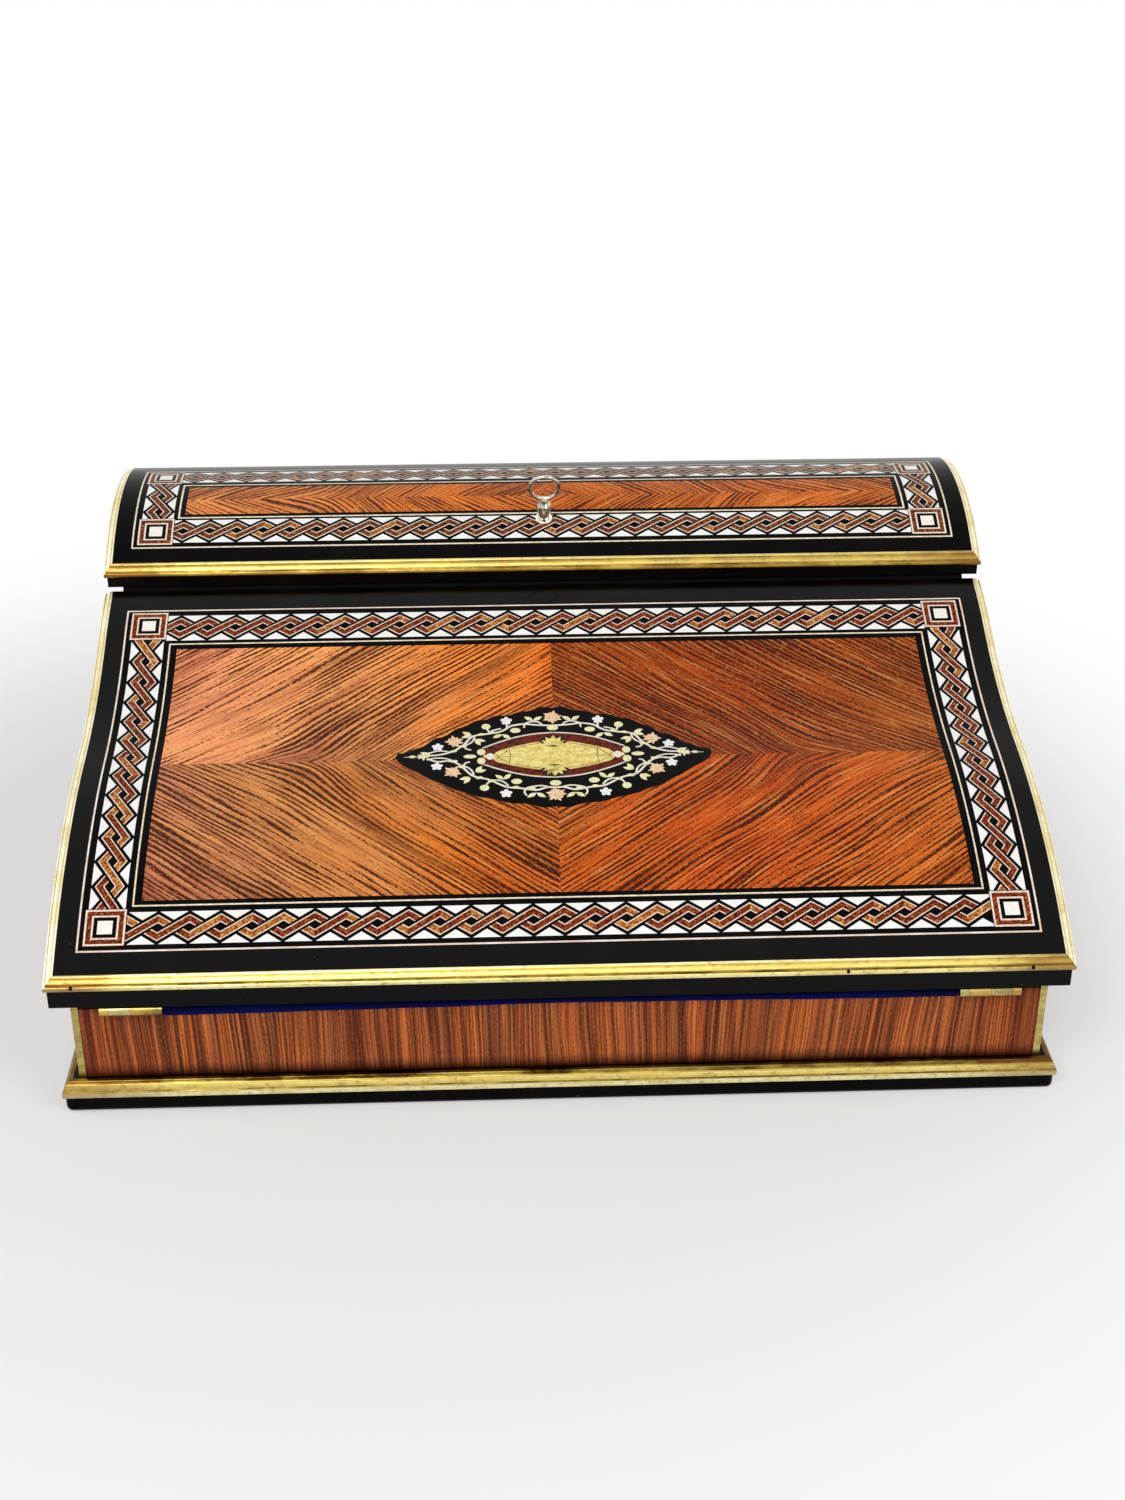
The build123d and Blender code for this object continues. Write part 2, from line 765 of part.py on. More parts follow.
with BuildPart() as flap_bearers:
    for side in (-1, 1):
        low, high = span(side, panel_half_width - bearer_width, panel_half_width)
        start = max(panel_front, front_edge + rail_depth)
        extrude(under(FLAP, start, panel_back, flap_thickness, panel_front_height, low),
                amount=high - low)
    with BuildSketch(Plane.YZ.offset(-half_width)):
        with BuildLine():
            Polyline(
                (panel_front - overrun, panel_front_height - overrun * panel_tan),
                (panel_back + overrun, panel_front_height + rise + overrun * panel_tan),
                (panel_back + overrun, 0), (panel_front - overrun, 0), close=True,
            )
        make_face()
    extrude(amount=overall_width, mode=Mode.SUBTRACT)
save(flap_bearers, "flap_bearers")

# ---------------------------------------------------------------- lid
with BuildPart() as lid_board:
    extrude(layer(LID, -overrun, lid_length + overrun * 0.75, 0, lid_thickness, -edge_half),
            amount=2 * edge_half)
    block(
        -inner_half + cover_gap, inner_half - cover_gap, lid_back_edge - rail_depth,
        lid_back_edge, lid_rail_bottom, height_at(LID, lid_back_edge, 0),
    )
    split(bisect_by=Plane(origin=(0, riser + moulding_proud, 0), z_dir=(0, 1, 0)),
          keep=Keep.TOP)
    split(bisect_by=Plane(origin=(0, lid_back_edge, 0), z_dir=(0, 1, 0)), keep=Keep.BOTTOM)
    edge_rebate(LID, -overrun, lid_length + overrun * 0.75)
    lid_front_run = moulding_width / math.cos(math.radians(lid_front_slope))
    lid_back_run = moulding_width / math.cos(math.radians(lid_back_slope))
    for low, high in ((-overrun, lid_front_run), (lid_length - lid_back_run, lid_length + overrun * 0.75)):
        extrude(layer(LID, low, high, -1, moulding_height, -half_width),
                amount=overall_width, mode=Mode.SUBTRACT)
    bed, width = marquetry(LID, lid_front_margin, lid_border_far, border_half)
    extrude(bed, amount=width, mode=Mode.SUBTRACT)
    pilot_holes(back_seat, lid_rail_bottom, screw_length)
    # the lock's mortise, the keyhole and the escutcheon's seat
    lock_block(-lock_half_length, lock_half_length, -lock_front, lock_back,
               -lock_bottom - 5, -lock_top, mode=Mode.SUBTRACT)
    lock_round(escutcheon_radius + running, -escutcheon_depth, 5, mode=Mode.SUBTRACT)
    keyhole(-lock_bottom, 5)
save(lid_board, "lid_board")

lid_panel_near = lid_front_margin + lid_front_border
lid_panel_far = lid_border_far - border_width

for name, side in SIDES:
    with BuildPart() as moulding:
        end_moulding(LID, side, -overrun, lid_length + overrun * 0.75, riser, overall_depth / 2)
        for y in (riser, overall_depth / 2):
            across = 1 if y > riser else -1
            split(
                bisect_by=Plane(origin=(side * half_width, y, 0),
                                z_dir=(-side, across, 0)), keep=Keep.BOTTOM,
            )
    save(moulding, f"lid_moulding_{name}")

for name, y, low, high in (
    ("front", riser, -overrun, lid_front_run),
    ("back", overall_depth / 2, lid_length - lid_back_run, lid_length + overrun * 0.75),
):
    across = 1 if y > riser else -1
    with BuildPart() as moulding:
        extrude(layer(LID, low, high, 0, moulding_height, -half_width), amount=overall_width)
        split(bisect_by=Plane(origin=(0, y, 0), z_dir=(0, across, 0)), keep=Keep.BOTTOM)
        for side in (-1, 1):
            split(
                bisect_by=Plane(origin=(side * half_width, y, 0),
                                z_dir=(side, -across, 0)), keep=Keep.BOTTOM,
            )
    save(moulding, f"lid_moulding_{name}")

# ---------------------------------------------------------------- lock
with BuildPart() as lid_veneer:
    bed, width = marquetry(LID, lid_panel_near, lid_panel_far, panel_half)
    extrude(bed, amount=width)
save(lid_veneer, "lid_veneer")

with BuildPart() as lid_border:
    bed, width = marquetry(LID, lid_front_margin, lid_border_far, border_half)
    extrude(bed, amount=width)
    bed, width = marquetry(LID, lid_panel_near, lid_panel_far, panel_half)
    extrude(bed, amount=width, mode=Mode.SUBTRACT)
    lock_round(escutcheon_radius + running, -5, 5, mode=Mode.SUBTRACT)
save(lid_border, "lid_border")

with BuildPart() as escutcheon:
    lock_round(escutcheon_radius, -escutcheon_depth, escutcheon_rise)
    fillet(escutcheon.faces().sort_by(Axis.Z)[-1].edges(), radius=escutcheon_rise / 2)
    keyhole(-escutcheon_depth - 1, escutcheon_rise + 1)
save(escutcheon, "escutcheon")

with BuildPart() as lock_case:
    lock_block(-lock_half_length, lock_half_length, -lock_front, lock_back,
               -lock_bottom, -lock_top)
    lock_block(-lock_half_length + lock_wall, lock_half_length - lock_wall,
               -lock_front + lock_wall, lock_back - lock_wall,
               -lock_bottom + lock_wall, -lock_top - lock_wall, mode=Mode.SUBTRACT)
    keyhole(-lock_top - lock_wall - 1, -lock_top + 1)
    bolt_floor = -lock_bottom + lock_wall + slide
    lock_block(0, lock_half_length + 1,
               -bolt_offset - bolt_width / 2 - slide, -bolt_offset + bolt_width / 2 + slide,
               bolt_floor - slide, bolt_floor + bolt_thickness + slide, mode=Mode.SUBTRACT)
save(lock_case, "lock_case")

with BuildPart() as lock_bolt:
    lock_block(lock_half_length - bolt_length, lock_half_length,
               -bolt_offset - bolt_width / 2, -bolt_offset + bolt_width / 2,
               bolt_floor, bolt_floor + bolt_thickness)
save(lock_bolt, "lock_bolt")

with BuildPart() as key:
    lock_round(key_shank_radius, -key_tip_depth, key_collar_low)
    lock_round(key_neck_radius, key_collar_low, bow_height - bow_radius)
    lock_round(key_collar_radius, key_collar_low, key_collar_high)
    bow_centre = lock_plane.offset(bow_height).origin
    with Locations(Plane(origin=bow_centre, x_dir=(1, 0, 0), z_dir=lock_plane.y_dir)):
        Torus(bow_radius, bow_wire)
    lock_block(-key_bit_reach, 0, -key_bit_thickness / 2, key_bit_thickness / 2,
               -key_tip_depth, -key_tip_depth + key_bit_height)
save(key, "key")

with BuildPart() as lid_lining:
    extrude(layer(LID, lid_front_margin, lid_border_far - rail_depth, lid_thickness,
                  lid_thickness + cloth, -inner_half + cap_thickness),
            amount=2 * (inner_half - cap_thickness))
    lock_block(-lock_half_length - lock_play, lock_half_length + lock_play,
               -lock_front - lock_play, lock_back + lock_play, -lock_bottom - lock_play, 0,
               mode=Mode.SUBTRACT)
save(lid_lining, "lid_lining")

# Staple on the divider's back: the thrown bolt goes through its eye
staple_x = lock_half_length + staple_gap
with BuildPart() as lock_staple:
    eye_y = -bolt_offset
    eye_z = bolt_floor + bolt_thickness / 2
    lock_block(staple_x, staple_x + staple_width,
               eye_y - bolt_width / 2 - staple_rim - staple_reach,
               eye_y + bolt_width / 2 + staple_rim,
               eye_z - bolt_thickness / 2 - staple_rim, eye_z + bolt_thickness / 2 + staple_rim)
    staple_foot = height_at(LID, divider_back, lid_thickness + cover_gap) - staple_drop
    block(staple_x + staple_width / 2 - staple_plate_width / 2,
          staple_x + staple_width / 2 + staple_plate_width / 2,
          divider_back, divider_back + staple_plate,
          staple_foot - staple_plate_height, staple_foot)
    block(staple_x, staple_x + staple_width, divider_back, divider_back + staple_bridge,
          staple_foot - staple_plate_height, staple_foot)
    lock_block(staple_x - slide, staple_x + staple_width + slide,
               eye_y - bolt_width / 2 - slide * 3, eye_y + bolt_width / 2 + slide * 3,
               eye_z - bolt_thickness / 2 - slide * 3, eye_z + bolt_thickness / 2 + slide * 3,
               mode=Mode.SUBTRACT)
    cut(-half_width, half_width, plinth_front, divider_back, 0, 2 * lid_start[1])
    extrude(layer(LID, -overrun, lid_length, -overrun, lid_thickness + cover_gap + cloth, -half_width),
            amount=overall_width, mode=Mode.SUBTRACT)
save(lock_staple, "lock_staple")

# ---------------------------------------------------------------- hinges
def knuckles(side):
    """X range of each knuckle of one hinge."""
    ranges = []
    x = -hinge_length / 2
    for length in knuckle_lengths:
        low, high = sorted(side * (hinge_centre + x + d) for d in (0, length))
        ranges.append((low, high))
        x += length + knuckle_gap
    return ranges


def leaves(axis_y, axis_z, inward, plate_end, upper):
    """Both hinges' leaves of one kind: upper under the moving board, lower on the wall."""
    if upper:
        level = axis_z + hinge_barrel + leaf_gap - hinge_leaf
    else:
        level = axis_z - hinge_barrel
    plate_start = axis_y + inward * (hinge_barrel + leaf_gap)
    own = 1 if upper else 0
    for side in (-1, 1):
        x0, x1 = sorted(side * (hinge_centre + d * hinge_length / 2) for d in (-1, 1))
        block(x0, x1, *sorted((plate_start, plate_end)), level, level + hinge_leaf)
        for low, high in knuckles(side)[own::2]:
            block(low, high, *sorted((axis_y, plate_start)), level, level + hinge_leaf)
            extrude(disc(Plane(origin=(low, axis_y, axis_z), z_dir=(1, 0, 0)), hinge_barrel),
                    amount=high - low)
    bore = disc(Plane(origin=(-half_width, axis_y, axis_z), z_dir=(1, 0, 0)),
                hinge_pin + running)
    extrude(bore, amount=overall_width, mode=Mode.SUBTRACT)


def seat_level(axis_z, upper):
    """Face of a leaf that takes the screw heads, and the way it faces."""
    if upper:
        return axis_z + hinge_barrel + leaf_gap - hinge_leaf, -1
    return axis_z - hinge_barrel + hinge_leaf, 1


def screw_bodies(axis_z, seat, upper, play, mode):
    """Two countersunk screws to a leaf, grown by a play when they are holes."""
    level, facing = seat_level(axis_z, upper)
    for x, y in screw_points(seat):
        top = Plane(origin=(x, y, level), x_dir=(1, 0, 0), z_dir=(0, 0, -facing))
        shank = top.offset(screw_head - screw_shank)
        loft([disc(top, screw_head + play), disc(shank, screw_shank + play)], mode=mode)
        extrude(disc(shank, screw_shank + play),
                amount=screw_length - (screw_head - screw_shank), mode=mode)


with BuildPart() as flap_hinge_case_leaves:
    leaves(flap_axis_y, flap_axis_z, 1, front_leaf_end, upper=False)
    screw_bodies(flap_axis_z, front_seat, False, running, Mode.SUBTRACT)
save(flap_hinge_case_leaves, "flap_hinge_case_leaves")

with BuildPart() as flap_hinge_flap_leaves:
    leaves(flap_axis_y, flap_axis_z, 1, front_leaf_end, upper=True)
    screw_bodies(flap_axis_z, front_seat, True, running, Mode.SUBTRACT)
save(flap_hinge_flap_leaves, "flap_hinge_flap_leaves")

with BuildPart() as lid_hinge_case_leaves:
    leaves(lid_axis_y, lid_axis_z, -1, back_leaf_end, upper=False)
    screw_bodies(lid_axis_z, back_seat, False, running, Mode.SUBTRACT)
save(lid_hinge_case_leaves, "lid_hinge_case_leaves")

with BuildPart() as lid_hinge_lid_leaves:
    leaves(lid_axis_y, lid_axis_z, -1, back_leaf_end, upper=True)
    screw_bodies(lid_axis_z, back_seat, True, running, Mode.SUBTRACT)
save(lid_hinge_lid_leaves, "lid_hinge_lid_leaves")

with BuildPart() as hinge_pins:
    for axis_y, axis_z in ((flap_axis_y, flap_axis_z), (lid_axis_y, lid_axis_z)):
        for side in (-1, 1):
            foot = (side * hinge_centre - hinge_length / 2, axis_y, axis_z)
            extrude(disc(Plane(origin=foot, z_dir=(1, 0, 0)), hinge_pin), amount=hinge_length)
save(hinge_pins, "hinge_pins")

with BuildPart() as case_hinge_screws:
    screw_bodies(flap_axis_z, front_seat, False, 0, Mode.ADD)
    screw_bodies(lid_axis_z, back_seat, False, 0, Mode.ADD)
save(case_hinge_screws, "case_hinge_screws")

with BuildPart() as flap_hinge_screws:
    screw_bodies(flap_axis_z, front_seat, True, 0, Mode.ADD)
save(flap_hinge_screws, "flap_hinge_screws")

with BuildPart() as lid_hinge_screws:
    screw_bodies(lid_axis_z, back_seat, True, 0, Mode.ADD)
save(lid_hinge_screws, "lid_hinge_screws")

# ---------------------------------------------------------------- cloth and linings
with BuildPart() as rim_cloth:
    cloth_half = hinge_centre - hinge_length / 2 - 1
    lip_face = inner_front - lip_thickness
    block(-cloth_half, cloth_half, front_face - cloth, front_face,
          front_height - cloth_drop, front_height + cloth)
    block(-cloth_half, cloth_half, front_face, lip_face, front_height, front_height + cloth)
    block(-cloth_half, cloth_half, lip_face - cloth, lip_face,
          front_height + cloth, flap_rail_bottom - cover_gap)
save(rim_cloth, "rim_cloth")

with BuildPart() as paper_lining:
    block(-inner_half, inner_half, inner_front, inner_back,
          plinth_height, plinth_height + lining_height)
    cut(-inner_half + lining, inner_half - lining, inner_front + lining,
        inner_back - lining, plinth_height + lining, plinth_height + lining_height)
save(paper_lining, "paper_well_lining")

# ---------------------------------------------------------------- ink compartment
with BuildPart() as ink_shelf:
    block(-inner_half, inner_half, divider_back, inner_back,
          shelf_height - shelf_thickness, shelf_height)
save(ink_shelf, "ink_shelf")

partition_height = height_at(LID, divider_back, lid_thickness + cover_gap) - partition_gap
for name, side in SIDES:
    low, high = span(side, partition_place, partition_place + partition_thickness)
    with BuildPart() as partition:
        block(low, high, divider_back, inner_back, shelf_height, partition_height)
    save(partition, f"ink_partition_{name}")

with BuildPart() as pen_tray:
    tray_half = partition_place - drop_in
    tray_front = divider_back + drop_in
    tray_back = inner_back - drop_in
    tray_top = shelf_height + tray_height
    block(-tray_half, tray_half, tray_front, tray_back, shelf_height, tray_top)
    for row in (-1, 1):
        middle = (tray_front + tray_back) / 2 + row * tray_trough_spacing / 2
        with BuildSketch(Plane.YZ.offset(-tray_half + tray_wall)):
            with Locations((middle, tray_top)):
                Circle(tray_trough)
        extrude(amount=2 * (tray_half - tray_wall), mode=Mode.SUBTRACT)
save(pen_tray, "pen_tray")

well_middle_x = (partition_place + partition_thickness + inner_half) / 2
well_middle_y = (divider_back + inner_back) / 2
for name, side in SIDES:
    with BuildPart() as inkwell:
        with Locations((side * well_middle_x, well_middle_y, shelf_height + well_height / 2)):
            Box(well_side, well_side, well_height)
        fillet(inkwell.edges().filter_by(Axis.Z), radius=well_corner)
        with Locations((side * well_middle_x, well_middle_y,
                        shelf_height + well_height + well_neck_height / 2)):
            Cylinder(well_neck_radius, well_neck_height)
        inside = well_height - well_glass * 2
        with Locations((side * well_middle_x, well_middle_y,
                        shelf_height + well_glass + inside / 2)):
            Box(well_side - 2 * well_glass, well_side - 2 * well_glass, inside,
                mode=Mode.SUBTRACT)
        with Locations((side * well_middle_x, well_middle_y, shelf_height + well_height)):
            Cylinder(well_mouth_radius, 2 * (well_neck_height + well_glass), mode=Mode.SUBTRACT)
    save(inkwell, f"inkwell_{name}")

for name, side in SIDES:
    base = shelf_height + well_height
    with BuildPart() as inkwell_cap:
        with Locations((side * well_middle_x, well_middle_y, base + cap_height / 2)):
            Cylinder(cap_radius, cap_height)
        fillet(inkwell_cap.faces().sort_by(Axis.Z)[-1].edges(), radius=cap_dome)
        with Locations((side * well_middle_x, well_middle_y, base + well_neck_height / 2)):
            Cylinder(well_neck_radius + running, well_neck_height, mode=Mode.SUBTRACT)
    save(inkwell_cap, f"inkwell_cap_{name}")
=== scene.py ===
import bpy
import bmesh
import json
import math
import random
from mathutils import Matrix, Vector


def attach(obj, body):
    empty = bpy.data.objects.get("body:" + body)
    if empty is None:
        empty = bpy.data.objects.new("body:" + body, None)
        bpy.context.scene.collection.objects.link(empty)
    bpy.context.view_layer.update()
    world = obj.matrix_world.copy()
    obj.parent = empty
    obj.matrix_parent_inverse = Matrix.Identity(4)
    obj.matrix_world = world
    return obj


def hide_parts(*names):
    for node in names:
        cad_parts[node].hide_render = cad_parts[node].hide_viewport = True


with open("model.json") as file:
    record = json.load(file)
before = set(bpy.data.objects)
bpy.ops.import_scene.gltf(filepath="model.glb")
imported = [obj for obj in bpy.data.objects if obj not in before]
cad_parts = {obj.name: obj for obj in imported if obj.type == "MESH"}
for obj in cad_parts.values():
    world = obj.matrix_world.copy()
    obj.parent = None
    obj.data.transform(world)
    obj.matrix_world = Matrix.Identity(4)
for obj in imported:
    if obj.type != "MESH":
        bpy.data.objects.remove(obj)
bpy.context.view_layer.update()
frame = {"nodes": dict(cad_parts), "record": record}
NODES = frame["nodes"]
SCENE = bpy.context.scene
MM = 0.001

# ---------------- sizes, in mm, as in part.py
HALF_WIDTH = 190.0
# a curve of tangent arcs: (length, slope in degrees) at each end of an arc, and its start (y, z)
FLAP = ([(0.0, 34.5), (109.0, 7.5), (180.0, 26.0), (210.5, 14.0)], (-141.7611, 59.2))
LID = ([(0.0, 38.0), (90.27846, -17.14472)], (56.3611, 137.0974))
FLAP_END_Y = 55.3611
LID_BACK_Y = 141.7611
PLINTH_HALF, PLINTH_FRONT, PLINTH_BACK = 188.5, -139.7611, 139.7611
FLAP_STEP, LID_STEP = 3.5, 2.5      # flat pieces are cut this often to follow a curve
BED = -0.8                          # underside of what is let into a board
SUNK = -0.3                         # underside of the small inlays
MITRE = 0.07                        # a hair of dark at each mitre


def walk(curve, length, depth=0.0):
    """Point (y, z) at a length along a curve of tangent arcs, a depth below it."""
    bends, (y, z) = curve
    done, slope = bends[0][0], math.radians(bends[0][1])
    for stop, stop_slope in bends[1:]:
        bend = (math.radians(stop_slope) - slope) / (stop - done)
        last = stop == bends[-1][0]
        reach = length if last or length < stop else stop
        new_slope = slope + bend * (reach - done)
        y += (math.sin(new_slope) - math.sin(slope)) / bend
        z -= (math.cos(new_slope) - math.cos(slope)) / bend
        done, slope = reach, new_slope
        if reach == length:
            break
    return y + depth * math.sin(slope), z - depth * math.cos(slope)


def length_at(curve, y, depth=0.0):
    """Length along a curve where it passes over y, a depth below its face."""
    low, high = -20.0, curve[0][-1][0] + 20.0
    for _ in range(50):
        middle = (low + high) / 2
        if walk(curve, middle, depth)[0] < y:
            low = middle
        else:
            high = middle
    return low


def metres(x, y, z):
    return Vector((x * MM, y * MM, z * MM))


def add_object(name, data):
    obj = bpy.data.objects.new(name, data)
    SCENE.collection.objects.link(obj)
    return obj


# ---------------- meshes
def add_piece(name, bm, material, body, slot, *replaced, sharp=None):
    """A mesh as a piece on a body; with sharp, only edges of more than that angle look sharp."""
    bmesh.ops.recalc_face_normals(bm, faces=bm.faces)
    mesh = bpy.data.meshes.new(name)
    bm.to_mesh(mesh)
    bm.free()
    mesh.materials.append(material)
    obj = add_object(name, mesh)
    for polygon in mesh.polygons:
        polygon.use_smooth = sharp is not None
    if sharp is not None:
        mesh.set_sharp_from_angle(angle=math.radians(sharp))
    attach(obj, body)
    if replaced:
        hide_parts(*replaced)
    return obj


def prism(bm, points, low, high):
    """Closed prism over a flat outline, in x and length, between two heights."""
    area = sum(a[0] * b[1] - b[0] * a[1] for a, b in zip(points, points[1:] + points[:1]))
    if area < 0:
        points = points[::-1]
    bottom = [bm.verts.new((x, s, low)) for x, s in points]
    top = [bm.verts.new((x, s, high)) for x, s in points]
    bm.faces.new(bottom[::-1])
    bm.faces.new(top)
    count = len(points)
    for i in range(count):
        j = (i + 1) % count
        bm.faces.new((bottom[i], bottom[j], top[j], top[i]))


def slab(bm, x0, x1, s0, s1, cuts, low, high):
    """Rectangle as prisms side by side."""
    for i in range(cuts):
        a, b = x0 + (x1 - x0) * i / cuts, x0 + (x1 - x0) * (i + 1) / cuts
        prism(bm, [(a, s0), (b, s0), (b, s1), (a, s1)], low, high)


def mitred_strips(outer, inner):
    """Four strips between two rectangles, each given as x0, x1, s0, s1."""
    a0, a1, b0, b1 = outer
    c0, c1, d0, d1 = inner
    return [
        [(a0, b0), (a1, b0), (c1, d0), (c0, d0)], [(a1, b0), (a1, b1), (c1, d1), (c1, d0)],
        [(a1, b1), (a0, b1), (c0, d1), (c1, d1)], [(a0, b1), (a0, b0), (c0, d0), (c0, d1)],
    ]


def ring(bm, x0, x1, s0, s1, width, low, high):
    """Rectangular line of one width."""
    for strip in mitred_strips((x0, x1, s0, s1), (x0 + width, x1 - width, s0 + width, s1 - width)):
        prism(bm, strip, low, high)


def map_flat(bm, place):
    """Keep each vertex's flat place, in metres, in the mapping that the materials read."""
    uv = bm.loops.layers.uv.new("Flat")
    for face in bm.faces:
        for loop in face.loops:
            loop[uv].uv = place[loop.vert]


def lay(bm, curve, step):
    """Bend flat pieces over a curve, cut every step so that they follow it."""
    lengths = [v.co.y for v in bm.verts]
    s = math.ceil(min(lengths) / step) * step
    while s < max(lengths):
        geometry = bm.verts[:] + bm.edges[:] + bm.faces[:]
        bmesh.ops.bisect_plane(bm, geom=geometry, dist=1e-4, plane_co=(0, s, 0), plane_no=(0, 1, 0))
        s += step
    flat = {v: tuple(v.co) for v in bm.verts}
    map_flat(bm, {v: (x * MM, s * MM) for v, (x, s, _) in flat.items()})
    for v, (x, s, rise) in flat.items():
        v.co = metres(x, *walk(curve, s, -rise))


def sweep(bm, paths, profile=None):
    """Closed tube through sections, each a list of points in metres; maps the profile's length."""
    rings = [[bm.verts.new(p) for p in section] for section in paths]
    count = len(rings[0])
    across = [0.0] * count
    if profile:
        for i in range(1, count):
            across[i] = across[i - 1] + math.dist(profile[i - 1], profile[i]) * MM
    place = {}
    for i, verts in enumerate(rings):
        for v, reach in zip(verts, across):
            place[v] = (i / len(rings), reach)
    for a, b in zip(rings, rings[1:]):
        for i in range(count):
            j = (i + 1) % count
            bm.faces.new((a[i], a[j], b[j], b[i]))
    bm.faces.new(rings[0][::-1])
    bm.faces.new(rings[-1])
    map_flat(bm, place)


def sections_between(first, last, count):
    """Sections from one to another, straight and evenly spaced."""
    return [[a.lerp(b, i / count) for a, b in zip(first, last)] for i in range(count + 1)]


def smooth_points(points):
    """Corners cut twice (Chaikin), with the ends kept."""
    for _ in range(2):
        out = [points[0]]
        for (ax, ay), (bx, by) in zip(points, points[1:]):
            out.append((0.75 * ax + 0.25 * bx, 0.75 * ay + 0.25 * by))
            out.append((0.25 * ax + 0.75 * bx, 0.25 * ay + 0.75 * by))
        points = out + [points[-1]]
    return points


# ---------------- node trees as expressions
def linear(text):
    """Colour from its hexadecimal sRGB code."""
    values = [int(text[i:i + 2], 16) / 255 for i in (1, 3, 5)]
    return tuple(v / 12.92 if v <= 0.04045 else ((v + 0.055) / 1.055) ** 2.4 for v in values) + (1.0,)


class Value:
    """One output of a node; arithmetic on it makes further nodes."""

    def __init__(self, tree, socket):
        self.tree = tree
        self.socket = socket

    def __add__(self, other):
        return self.tree.math("ADD", self, other)

    def __sub__(self, other):
        return self.tree.math("SUBTRACT", self, other)

    def __mul__(self, other):
        return self.tree.math("MULTIPLY", self, other)

    def __rtruediv__(self, other):
        return self.tree.math("DIVIDE", other, self)

    def __gt__(self, other):
        return self.tree.math("GREATER_THAN", self, other)

    def __abs__(self):
        return self.tree.math("ABSOLUTE", self)

    __radd__ = __add__
    __rmul__ = __mul__


class Tree:
    """A node tree."""

    def __init__(self, tree):
        self.tree = tree

    def link(self, value, socket):
        if isinstance(value, Value):
            self.tree.links.new(value.socket, socket)
        else:
            socket.default_value = linear(value) if isinstance(value, str) else value

    def node(self, kind, inputs, output=0, **settings):
        """Add a node, set it up, connect its inputs and give one of its outputs."""
        node = self.tree.nodes.new("ShaderNode" + kind)
        for key, setting in settings.items():
            setattr(node, key, setting)
        for key, value in inputs.items():
            self.link(value, node.inputs[key])
        return Value(self, node.outputs[output])

    def math(self, operation, *values):
        return self.node("Math", dict(enumerate(values)), operation=operation)

    def sine(self, value):
        return self.math("SINE", value)

    def place(self, flat=False):
        """x, y, z in mm: of the flat sheet or of the object."""
        if flat:
            place = self.node("UVMap", {}, "UV", uv_map="Flat")
        else:
            place = self.node("TexCoord", {}, "Object")
        return [self.node("SeparateXYZ", {0: place}, i) * 1000.0 for i in range(3)]

    def noise(self, x, y, z, detail=2.0, roughness=0.5):
        place = self.node("CombineXYZ", {0: x, 1: y, 2: z})
        inputs = {"Vector": place, "Scale": 1.0, "Detail": detail, "Roughness": roughness}
        return self.node("TexNoise", inputs, "Fac")

    def cloud(self, along_x, along_y, along_z, detail=2.0, roughness=0.5):
        """Noise over the object, with a scale along each of its axes."""
        x, y, z = self.place()
        return self.noise(x * along_x, y * along_y, z * along_z, detail, roughness)

    def ramp(self, value, stops):
        colour = self.node("ValToRGB", {"Fac": value}, "Color")
        elements = colour.socket.node.color_ramp.elements
        while len(elements) < len(stops):
            elements.new(0.5)
        for element, (place, stop) in zip(elements, stops):
            element.position = place
            element.color = linear(stop) if isinstance(stop, str) else (stop, stop, stop, 1.0)
        return colour

    def range(self, value, a, b, low, high, **settings):
        inputs = {"Value": value, "From Min": a, "From Max": b, "To Min": low, "To Max": high}
        return self.node("MapRange", inputs, **settings)

    def mix(self, factor, a, b, blend="MIX"):
        return self.node("Mix", {"Factor": factor, 6: a, 7: b}, 2, data_type="RGBA", blend_type=blend)

    def stain(self, base, value, none, full, amount, colour):
        """Lay a colour over base: nothing of it where value is none, the amount where it is full."""
        share = self.ramp(value, sorted([(none, 0.0), (full, 1.0)]))
        return self.mix(share * amount, base, colour)


class Shader(Tree):
    """A material with one principled surface."""

    def __init__(self, name, **constants):
        self.material = bpy.data.materials.new(name)
        self.material.use_nodes = True
        super().__init__(self.material.node_tree)
        self.bsdf = self.tree.nodes["Principled BSDF"]
        for socket, value in constants.items():
            self.bsdf.inputs[socket.replace("_", " ")].default_value = value

    def done(self, colour, roughness, height=None, strength=0.0, distance=0.0):
        """Connect the surface, with bumps of a height, and give the material."""
        self.link(colour, self.bsdf.inputs["Base Color"])
        self.link(roughness, self.bsdf.inputs["Roughness"])
        if height is not None:
            bump = self.node("Bump", {"Height": height, "Strength": strength, "Distance": distance})
            self.link(bump, self.bsdf.inputs["Normal"])
        return self.material


